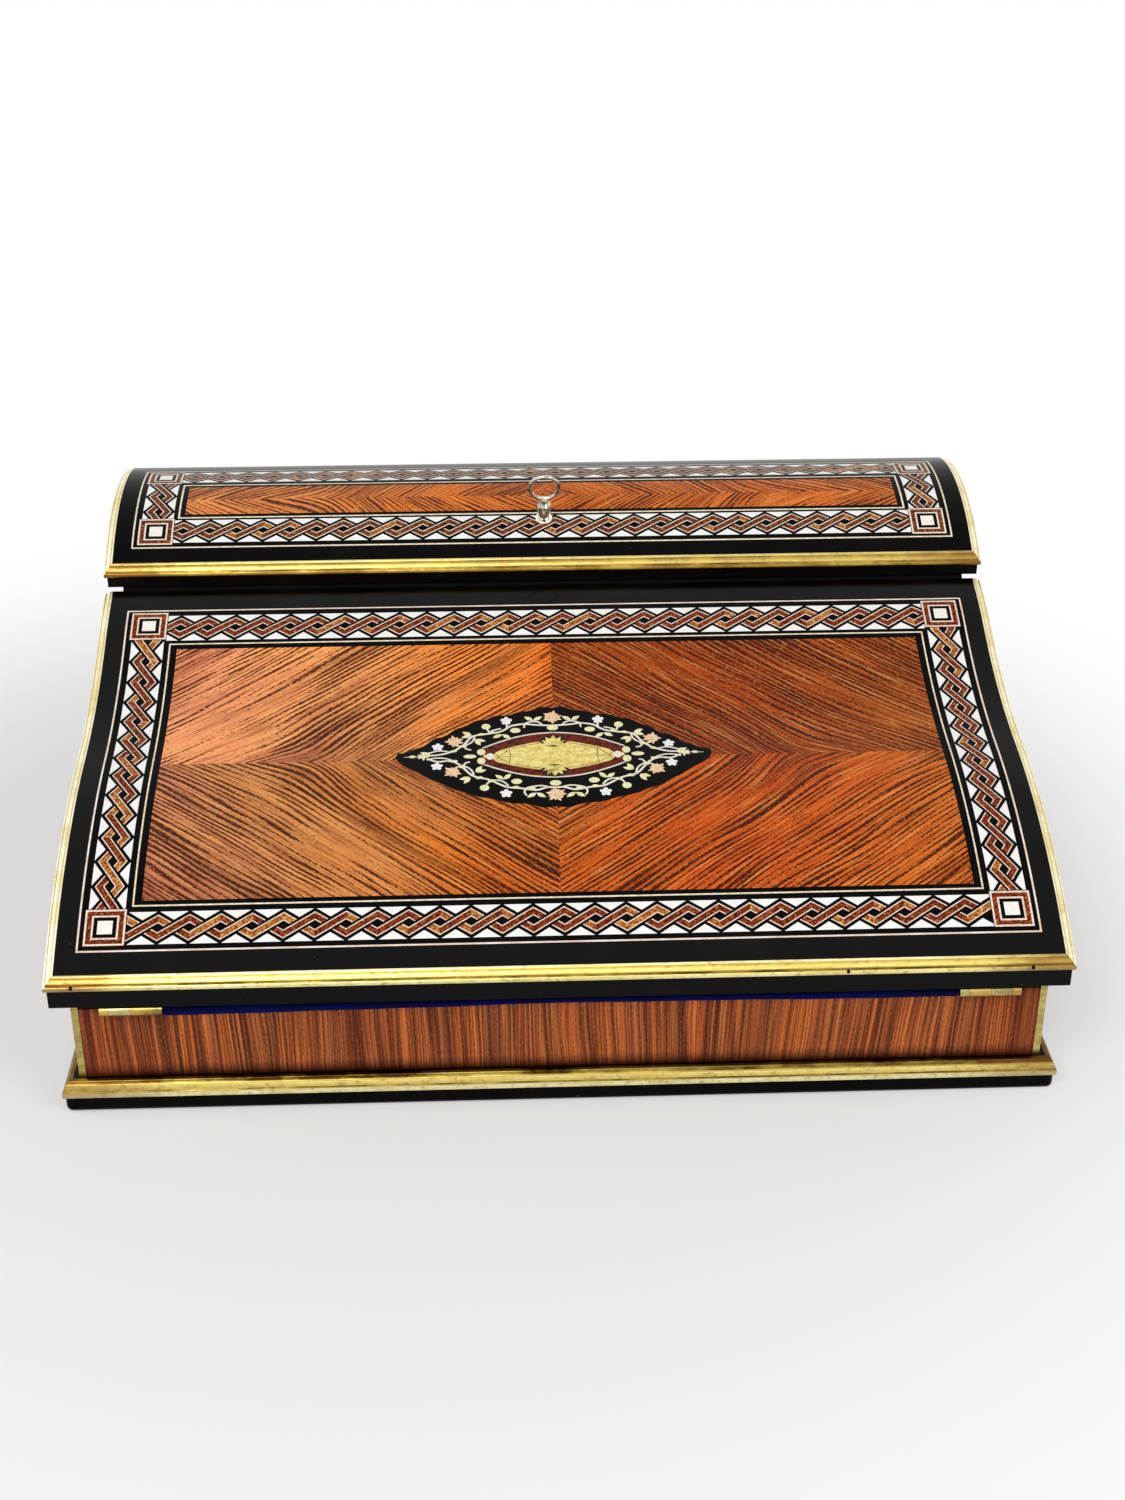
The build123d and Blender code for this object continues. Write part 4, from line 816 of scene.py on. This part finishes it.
FLAP_START_Y, LID_START_Y = FLAP[1][0], LID[1][0]
moulding("flap_rim_front", rim_end(FLAP, FLAP_START_Y, 1), RIM, "flap", "flap_moulding_front", BRASS)
moulding("lid_rim_front", rim_end(LID, LID_START_Y, 1), RIM, "lid", "lid_moulding_front", BRASS_LID_SHADED)
moulding("lid_rim_back", rim_end(LID, LID_BACK_Y, -1), RIM, "lid", "lid_moulding_back", BRASS)
for side, word in ((-1, "left"), (1, "right")):
    moulding(f"flap_rim_{word}", rim_side(FLAP, side, FLAP_START_Y, FLAP_END_Y, False), RIM,
             "flap", f"flap_moulding_{word}", BRASS_SIDE_PAINTED_REFLECTION)
    moulding(f"lid_rim_{word}", rim_side(LID, side, LID_START_Y, LID_BACK_Y, True), RIM,
             "lid", f"lid_moulding_{word}", BRASS_SIDE_PAINTED_REFLECTION)

CORNERS = [(-1, -1), (1, -1), (1, 1), (-1, 1)]
for word, ends in (("front", (0, 1)), ("right", (1, 2)), ("back", (2, 3)), ("left", (3, 0))):
    # each run stops a hair short of its mitre
    short_x, short_y = (MITRE, 0.0) if word in ("front", "back") else (0.0, MITRE)
    corners = []
    for sx, sy in (CORNERS[end] for end in ends):
        edge = PLINTH_FRONT if sy < 0 else PLINTH_BACK
        corners.append([metres(sx * (PLINTH_HALF - u - short_x), edge - sy * (u + short_y), z)
                        for u, z in FOOT])
    moulding(f"plinth_rim_{word}", sections_between(*corners, 40), FOOT,
             "case", f"plinth_moulding_{word}", BRASS_FOOT_PAINTED_LIGHT)


# ---------------- cloth and leather
def waver(x, seed):
    """A smooth unevenness between about -1 and 1."""
    slow = 0.5 * math.sin(0.031 * x + seed) + 0.3 * math.sin(0.083 * x + 2.1 * seed)
    return slow + 0.2 * math.sin(0.19 * x)


# strip over the front rim: down the veneer to an uneven edge, over the rim and up behind the flap's rail
CLOTH_HALF = 148.3
CLOTH_FACE, CLOTH_EDGE, CLOTH_TOP = -135.16, 40.9, 47.9
rows = []
for i in range(121):
    t = i / 120
    x = -CLOTH_HALF + 2 * CLOTH_HALF * t
    edge = CLOTH_EDGE + 1.5 * min(1.0, 2.2 * t) - 0.9 * max(0.0, 2.0 * t - 1.0) + 0.28 * waver(x, 1.0)
    out = CLOTH_FACE - 0.10 * abs(waver(x, 2.0))
    front = [(out, edge), (out, 43.9), (-134.95, 44.3), (-134.6, 44.42), (-129.3, 44.42), (-129.16, 44.6),
             (-129.16, CLOTH_TOP)]
    back = [(-128.8, CLOTH_TOP), (-128.8, 44.2), (-129.2, 44.03), (-134.5, 44.03), (-134.78, 43.8),
            (-134.78, edge)]
    rows.append([metres(x, y, z) for y, z in front + back])
bm = bmesh.new()
sweep(bm, rows)
rim = add_piece("rim_cloth_strip", bm, CLOTH, "case", "blue_cloth", "rim_cloth", sharp=60)

# lining glued under the lid, cut out round the lock
LINING_HALF, LINING_NEAR, LINING_FAR = 169.6, 12.1, 61.0
LINING_LOW, LINING_HIGH = -6.86, -6.5
KEY_S = length_at(LID, 78.79234)      # length on the lid where the key stands
LOCK_HALF, LOCK_NEAR, LOCK_FAR = 24.0, KEY_S - 13.2, KEY_S + 10.2
bm = bmesh.new()
for x0, x1, s0, s1, cuts in (
    (-LINING_HALF, -LOCK_HALF, LINING_NEAR, LINING_FAR, 12),
    (LOCK_HALF, LINING_HALF, LINING_NEAR, LINING_FAR, 12),
    (-LOCK_HALF, LOCK_HALF, LINING_NEAR, LOCK_NEAR, 4),
    (-LOCK_HALF, LOCK_HALF, LOCK_FAR, LINING_FAR, 4),
):
    slab(bm, x0, x1, s0, s1, cuts, LINING_LOW, LINING_HIGH)
bmesh.ops.remove_doubles(bm, verts=bm.verts, dist=1e-5)
lay(bm, LID, LID_STEP)
lining = add_piece("lid_lining_cloth", bm, CLOTH, "lid", "blue_cloth", "lid_lining")

# lining of the paper well: glued to its floor and walls, its edge a little uneven
WELL_X, WELL_Y, WELL_LOW, WELL_HIGH, WELL_CLOTH = 173.3, 125.66, 13.45, 41.3, 0.55


def well_line(inset, radius, height, uneven=0.0):
    """A line round the well with round corners, in short steps so that it can waver."""
    arcs = []
    for k, (sx, sy) in enumerate(CORNERS):
        ox, oy = sx * (WELL_X - inset - radius), sy * (WELL_Y - inset - radius)
        angles = [math.radians(180 + 90 * k + 22.5 * i) for i in range(5)]
        arcs.append([(ox + radius * math.cos(a), oy + radius * math.sin(a)) for a in angles])
    points = []
    for arc, after in zip(arcs, arcs[1:] + arcs[:1]):
        (ax, ay), (bx, by) = arc[-1], after[0]
        points += arc + [(ax + (bx - ax) * i / 12, ay + (by - ay) * i / 12) for i in range(1, 12)]
    return [metres(x, y, height + uneven * waver(x + 0.7 * y, 3.0)) for x, y in points]


bm = bmesh.new()
sweep(bm, [
    well_line(0.0, 0.6, WELL_LOW), well_line(0.0, 0.6, WELL_HIGH, 0.25),
    well_line(WELL_CLOTH, 1.0, WELL_HIGH, 0.25), well_line(WELL_CLOTH, 1.0, WELL_LOW + 3.0),
    well_line(WELL_CLOTH + 0.5, 1.2, WELL_LOW + 1.2), well_line(WELL_CLOTH + 2.2, 1.4, WELL_LOW + WELL_CLOTH),
])
well = add_piece("paper_well_cloth", bm, CLOTH, "case", "blue_cloth", "paper_well_lining", sharp=50)

# leather glued under the flap on its writing panel, with two tooled gilt lines
PANEL_TAN = 0.3739                    # rise of the panel over its run
PANEL_Y, PANEL_Z = -123.76, 47.8      # its front edge
LEATHER_HALF, LEATHER_NEAR, LEATHER_FAR = 160, -115.5, 39.0


def panel_sheet(name, bm, material):
    """Turn flat pieces, in x, y and depth, to lie under the writing panel."""
    for v in bm.verts:
        x, y, below = v.co
        v.co = metres(x, y, PANEL_Z + (y - PANEL_Y) * PANEL_TAN - below)
    return add_piece(name, bm, material, "flap", "blue_leather")


bm = bmesh.new()
slab(bm, -LEATHER_HALF, LEATHER_HALF, LEATHER_NEAR, LEATHER_FAR, 1, 0.0, 0.30)
leather = panel_sheet("writing_leather", bm, LEATHER)
bm = bmesh.new()
for inset, width in ((7.0, 1.3), (9.4, 0.4)):
    half = LEATHER_HALF - inset
    ring(bm, -half, half, LEATHER_NEAR + inset, LEATHER_FAR - inset, width, 0.1, 0.33)
gilt = panel_sheet("writing_leather_gilt", bm, BRASS_INLAY)

# ---------------- cartouche
# its left half is drawn in units of its own, with its tip at (15, 535), its middle at X = 1450, and Y down;
# the pieces' heights differ by hundredths of a millimetre, so that each shows over what it lies on
TIP_X, MIDDLE_X, MIDDLE_Y = 15, 1450, 535
HALF_LONG, HALF_HIGH, HALF_HIGH_UNITS = 63.2, 31.5, 480
CENTRE_S = 107.3                  # length of the cartouche's middle along the flap
FIELD_LOW = -0.4                  # underside of its ground, eye and plaque


def at(X, Y):
    """x and length, in mm, of a point of the drawing."""
    x = -HALF_LONG + (X - TIP_X) * (HALF_LONG / (MIDDLE_X - TIP_X))
    return x, CENTRE_S + (MIDDLE_Y - Y) * (HALF_HIGH / HALF_HIGH_UNITS)


def turned(x, s, a, b, angle):
    """Point at (a, b) from (x, s) after a turn."""
    return (x + a * math.cos(angle) - b * math.sin(angle), s + a * math.sin(angle) + b * math.cos(angle))


class Drawing:
    """Flat pieces of the cartouche by kind, each drawn with its mirror image unless it is single."""

    def __init__(self):
        self.meshes = {}

    def shape(self, key, points, high, low=SUNK, single=False):
        bm = self.meshes.setdefault(key, bmesh.new())
        prism(bm, points, low, high)
        if not single:
            prism(bm, [(-x, s) for x, s in points], low, high)

    def oval(self, key, x, s, a, b, high, turn=0.0, count=10, single=False):
        angles = [2 * math.pi * i / count for i in range(count)]
        points = [turned(x, s, a * math.cos(t), b * math.sin(t), turn) for t in angles]
        self.shape(key, points, high, single=single)

    def leaf(self, key, x, s, length, width, degrees, high):
        outline = ((0.0, 0.0), (0.2, 0.62), (0.45, 1.0), (0.7, 0.75), (1.0, 0.0), (0.7, -0.75),
                   (0.45, -1.0), (0.2, -0.62))
        turn = math.radians(degrees)
        self.shape(key, [turned(x, s, a * length, b * width / 2, turn) for a, b in outline], high)

    def stroke(self, key, points, width, high):
        """Line of one width through points, its pieces a little longer than their steps."""
        points = smooth_points(points)
        for (ax, ay), (bx, by) in zip(points, points[1:]):
            size = math.hypot(bx - ax, by - ay)
            if size < 1e-6:
                continue
            dx, dy = (bx - ax) / size, (by - ay) / size
            nx, ny = -dy * width / 2, dx * width / 2
            over = 0.06
            ax, ay, bx, by = ax - dx * over, ay - dy * over, bx + dx * over, by + dy * over
            left, right = [(ax + nx, ay + ny), (bx + nx, by + ny)], [(ax - nx, ay - ny), (bx - nx, by - ny)]
            self.shape(key, right + left[::-1], high)

    def star(self, key, x, s, radius, petals, high, turn, single=False):
        """Pointed petals, each a kite that overlaps the next at the middle."""
        outline = ((0.0, -0.16), (0.55, -0.24), (1.0, 0.0), (0.55, 0.24), (0.0, 0.16))
        for i in range(petals):
            reach = radius * (1.0 if i % 2 == 0 else 0.78)
            angle = turn + 2 * math.pi * i / petals
            points = [turned(x, s, a * reach, b * radius, angle) for a, b in outline]
            self.shape(key, points, high + 0.0006 * i, single=single)

    def flower(self, key, x, s, radius, petals, high, turn):
        for i in range(petals):
            t = turn + 2 * math.pi * i / petals
            self.oval(key, *turned(x, s, 0.55 * radius, 0.0, t), 0.52 * radius, 0.40 * radius, high, t, 8)
        self.oval(key, x, s, 0.36 * radius, 0.36 * radius, high + 0.004, count=8)

    def fill(self, key, upper, lower, count, high):
        """Strips between two lines, from where they start to the middle."""
        start = upper[0][0]
        for i in range(count):
            a, b = start * (1 - i / count), start * (1 - (i + 1) / count)
            points = [(a, read(lower, a)), (b, read(lower, b)), (b, read(upper, b)), (a, read(upper, a))]
            if points[0] == points[3]:
                points = points[:3]
            self.shape(key, points, high, FIELD_LOW)


def read(line, x):
    """Height of a line at x."""
    for (ax, ay), (bx, by) in zip(line, line[1:]):
        if ax <= x <= bx:
            return ay + (by - ay) * (x - ax) / max(bx - ax, 1e-9)
    return line[-1][1] if x > line[-1][0] else line[0][1]


def lobed(points):
    """The ground's edge: lobes round its points, from the tip to the middle."""
    waves = [(X, Y + (11 if i % 2 else -11)) for i, (X, Y) in enumerate(points)]
    line = [at(*p) for p in smooth_points(waves)]
    return [(-HALF_LONG, CENTRE_S)] + line + [(0.0, line[-1][1])]


def placed(points):
    return smooth_points([at(*p) for p in points])


draw = Drawing()
GROUND_TOP = [(20, 500), (90, 482), (180, 462), (270, 415), (360, 355), (450, 325), (560, 265),
              (650, 222), (740, 190), (830, 168), (930, 142), (1040, 130), (1150, 112), (1250, 88),
              (1350, 66), (1450, 60)]
GROUND_BOTTOM = [(20, 575), (110, 625), (210, 690), (310, 735), (420, 795), (520, 832), (620, 875),
                 (750, 905), (900, 945), (1040, 968), (1200, 990), (1330, 1008), (1450, 1020)]
draw.fill("field", lobed(GROUND_TOP), lobed(GROUND_BOTTOM), 72, 0.03)

# tortoiseshell eye and its outline
EYE = [placed([(800, 455), (900, 415), (1020, 372), (1150, 338), (1300, 315), (1450, 308)]),
       placed([(800, 615), (900, 652), (1020, 690), (1150, 722), (1300, 745), (1450, 752)])]
draw.fill("shell", *EYE, 30, 0.045)
for line in EYE:
    draw.stroke("line", line, 0.75, 0.06)

# brass plaque; engraved lines along its edge, and the shells at its ends
PLAQUE_TOP = [(900, 532), (925, 495), (985, 472), (1043, 455), (1150, 428), (1260, 405), (1330, 396),
              (1345, 425), (1450, 428)]
PLAQUE_BOTTOM = [(900, 568), (925, 596), (985, 612), (1043, 628), (1150, 652), (1260, 672), (1330, 680),
                 (1345, 652), (1450, 650)]
draw.fill("brass", placed(PLAQUE_TOP), placed(PLAQUE_BOTTOM), 34, 0.06)
for line in (
    ((1043, 462), (1052, 500), (1054, 560), (1043, 620)),
    ((1062, 468), (1150, 443), (1260, 421), (1330, 414)),
    ((1062, 614), (1150, 638), (1260, 657), (1330, 664)), ((938, 545), (985, 520), (1030, 480)),
    ((938, 550), (1040, 545)), ((938, 555), (985, 575), (1030, 608)), ((925, 520), (948, 545), (925, 570)),
):
    draw.stroke("engraved", [at(*p) for p in line], 0.26, 0.075)

# brass sprays over the plaque's top and bottom, and the flowers at its ends
for base, way in ((425, 1), (655, -1)):
    s = at(MIDDLE_X, base)[1]
    draw.oval("engraved", 0.0, s + way * 2.2, 5.4, 3.9, 0.078, count=20, single=True)
    for turn, length, width in ((90, 6.6, 2.7), (60, 6.2, 2.3), (33, 5.8, 2.2), (8, 5.4, 1.7)):
        for lean in {turn, 180 - turn}:
            draw.leaf("palmette", 0.0, s - way * 0.6, length, width, lean * way, 0.085)
for X, Y, a, b in ((688, 537, 2.6, 1.3), (790, 494, 1.7, 2.1), (790, 583, 1.7, 2.1), (838, 538, 1.3, 1.0)):
    draw.oval("leafy", *at(X, Y), a, b, 0.075, count=16)
draw.oval("vine", *at(872, 540), 1.7, 2.3, 0.07, count=8)

# vine above and below the eye, and its tendrils
VINES = [
    [(300, 520), (390, 520), (480, 500), (545, 478), (600, 440), (640, 412), (690, 345), (740, 322),
     (815, 316), (890, 305), (960, 296), (1020, 268), (1060, 238), (1130, 225), (1200, 218), (1290, 232),
     (1400, 238), (1450, 238)],
    [(300, 550), (390, 590), (480, 575), (545, 588), (600, 622), (650, 672), (700, 722), (760, 745),
     (830, 755), (890, 778), (950, 808), (1020, 838), (1090, 842), (1150, 848), (1220, 860), (1290, 868),
     (1370, 840), (1450, 845)],
]
TENDRILS = [
    [(300, 500), (340, 488), (415, 470), (480, 482), (520, 492)],
    [(300, 565), (340, 552), (415, 545), (480, 555), (530, 575)],
    [(620, 432), (690, 405), (725, 370), (730, 335)],
    [(610, 625), (680, 650), (715, 690), (720, 730)],
    [(640, 432), (650, 460), (700, 470)], [(630, 625), (650, 598), (685, 592)],
    [(880, 285), (920, 272), (975, 262)], [(880, 775), (930, 768), (990, 785), (1028, 822)],
    [(1200, 215), (1260, 196), (1320, 200), (1360, 232)],
    [(1190, 845), (1260, 830), (1330, 826), (1380, 838)],
    [(1185, 215), (1192, 245), (1186, 258)], [(1185, 850), (1165, 885), (1190, 912)],
    [(870, 298), (850, 270), (840, 245)], [(878, 778), (850, 790), (830, 812)],
    [(1030, 262), (1030, 225), (1025, 200)], [(540, 410), (570, 425), (610, 430)],
    [(540, 660), (570, 640), (610, 630)],
]
for lines, width, height in ((VINES, 0.95, 0.05), (TENDRILS, 0.78, 0.052)):
    for line in lines:
        draw.stroke("vine", [at(*p) for p in line], width, height)

# flowers, fruit and leaves on the vine
for X, Y in ((395, 435), (390, 630), (1025, 188), (1007, 890)):
    draw.flower("pearl", *at(X, Y), 2.35, 5, 0.06, 0.3)
for X, Y, turn in ((545, 380, 0.4), (530, 685, -0.4)):
    draw.star("copper", *at(X, Y), 4.0, 9, 0.06, turn)
for X, Y, a, b in ((838, 240, 1.85, 1.75), (815, 838, 1.85, 1.75),
                   (1107, 282, 2.15, 1.6), (1103, 785, 2.15, 1.6)):
    draw.oval("disc", *at(X, Y), a, b, 0.06, count=14)
for X, Y, angles in (
    (705, 322, (150, 200)), (735, 365, (-15, -60)), (985, 318, (-150, -40)), (1275, 190, (35, 145)),
    (690, 740, (-165, -125)), (738, 690, (55, 15)), (990, 765, (140, 50)), (1275, 890, (-35, -145)),
    (330, 512, (160, 205)),
):
    for angle in angles:
        draw.leaf("leafy", *at(X, Y), 4.5, 2.1, angle, 0.058)
for X, Y in ((790, 315), (770, 745), (540, 480), (545, 583), (1090, 838), (1240, 852), (890, 300), (880, 775),
             (630, 430), (625, 640)):
    draw.oval("leafy", *at(X, Y), 1.5, 0.8, 0.062, 0.2, 8)

# tulip and bud at the tip
for angle in (150, 90, -90, -150, 180, 0):
    draw.leaf("leafy", *at(268, 530), 2.7, 1.2, angle, 0.06)
draw.oval("leafy", *at(168, 530), 1.5, 0.7, 0.06)
for angle in (60, -60, 120, -120):
    draw.leaf("leafy", *at(168, 530), 1.2, 0.6, angle, 0.06)
draw.stroke("vine", [at(90, 533), at(120, 533), at(240, 531)], 0.3, 0.05)

# flowers and fruit on the middle line
for Y, turn in ((160, 0.2), (905, 0.6)):
    draw.star("copper", *at(MIDDLE_X, Y), 4.3, 11, 0.06, turn, single=True)
for Y in (262, 805):
    draw.oval("disc", *at(MIDDLE_X, Y), 2.3, 1.6, 0.06, count=14, single=True)

CARTOUCHE = {"field": EBONY, "shell": TORTOISE, "line": VINE, "brass": BRASS_INLAY, "engraved": ENGRAVED,
             "vine": VINE, "leafy": LEAF_BRASS, "pearl": PEARL, "copper": COPPER, "disc": LEAF_BRASS,
             "palmette": BRASS_INLAY}
for key, bm in draw.meshes.items():
    lay(bm, FLAP, FLAP_STEP)
    add_piece("cartouche_" + key, bm, CARTOUCHE[key], "flap", "tortoiseshell_and_brass", "flap_cartouche")

# ---------------- camera
PHOTO_HEIGHT_PX, FOCAL_PX = 1500, 2082.57       # fitted to edges read from the photo
CAMERA_PLACE = (-0.02611, -0.77427, 0.49348)
PITCH_DOWN, YAW, ROLL = 0.4933, 0.0403, 0.0007
camera_data = bpy.data.cameras.new("camera")
camera = add_object("camera", camera_data)
camera_data.sensor_fit = "VERTICAL"
camera_data.sensor_height, camera_data.sensor_width = 36.0, 27.0
camera_data.lens = FOCAL_PX / PHOTO_HEIGHT_PX * camera_data.sensor_height
camera_data.clip_start, camera_data.clip_end = 0.01, 50.0
flat = math.cos(PITCH_DOWN)
forward = Vector((math.sin(YAW) * flat, math.cos(YAW) * flat, -math.sin(PITCH_DOWN)))
right = Vector((math.cos(YAW), -math.sin(YAW), 0.0))
up = right.cross(forward)
right, up = right * math.cos(ROLL) + up * math.sin(ROLL), up * math.cos(ROLL) - right * math.sin(ROLL)
matrix = camera.matrix_world.copy()
for row in range(3):
    matrix[row][:] = right[row], up[row], -forward[row], CAMERA_PLACE[row]
camera.matrix_world = matrix
SCENE.camera = camera
SCENE.view_settings.view_transform = "Standard"


# ---------------- light and floor
AIM = Vector((0, 0, 0.08))        # the middle of the box


def lamp(name, place, size, power):
    """Soft rectangular light aimed at the box."""
    data = bpy.data.lights.new(name, "AREA")
    data.shape = "RECTANGLE"
    data.size, data.size_y = size
    data.energy = power
    obj = add_object(name, data)
    obj.location = place
    obj.rotation_euler = (AIM - Vector(place)).to_track_quat("-Z", "Y").to_euler()


lamp("key_light", (-0.7, -1.5, 1.7), (1.3, 0.9), 22.0)
lamp("fill_light", (1.3, -1.1, 1.1), (1.0, 0.8), 10.0)
lamp("side_light", (-1.7, 0.1, 0.9), (0.8, 0.8), 5.0)


def seen_rays(tree):
    """1 for rays of the camera and of gloss and glass, 0 for those that light things."""
    camera_ray, glossy, through = [tree.node("LightPath", {}, output) for output in (
        "Is Camera Ray", "Is Glossy Ray", "Is Transmission Ray")]
    return tree.math("MAXIMUM", tree.math("MAXIMUM", camera_ray, glossy), through)


world = bpy.data.worlds.new("studio")
SCENE.world = world
world.use_nodes = True
background = world.node_tree.nodes["Background"]
background.inputs["Color"].default_value = (1, 1, 1, 1)
sky = Tree(world.node_tree)
sky.link(sky.range(seen_rays(sky), 0.0, 1.0, 0.35, 1.0), background.inputs["Strength"])

# the floor turns to the white background away from the object; near it, less glow shows the grey floor, a
# painted shade halo round the box, with the object's real shadow in it
floor_look = Shader("floor_white", Base_Color=(0.86, 0.86, 0.86, 1), Roughness=0.9, Specular_IOR_Level=0.1)
# the painted halo's middle lies 70 mm left of the box's middle and 20 mm in front of it
shifted = floor_look.node("VectorMath", {0: floor_look.node("TexCoord", {}, "Object"), 1: (0.07, 0.02, 0.0)})
far = floor_look.node("VectorMath", {0: shifted}, "Value", operation="LENGTH")
painted_halo_share = floor_look.range(far, 0.20, 0.50, 0.32, 1.0, interpolation_type="SMOOTHSTEP")
glow = floor_look.node("Emission", {"Strength": 1.0})
surface = Value(floor_look, floor_look.bsdf.outputs[0])
blend = floor_look.node("MixShader", {0: seen_rays(floor_look) * painted_halo_share, 1: surface, 2: glow})
floor_look.link(blend, floor_look.tree.nodes["Material Output"].inputs["Surface"])
bm = bmesh.new()
bmesh.ops.create_grid(bm, x_segments=2, y_segments=2, size=12.0)
floor_mesh = bpy.data.meshes.new("floor")
bm.to_mesh(floor_mesh)
bm.free()
floor_mesh.materials.append(floor_look.material)
add_object("floor", floor_mesh)
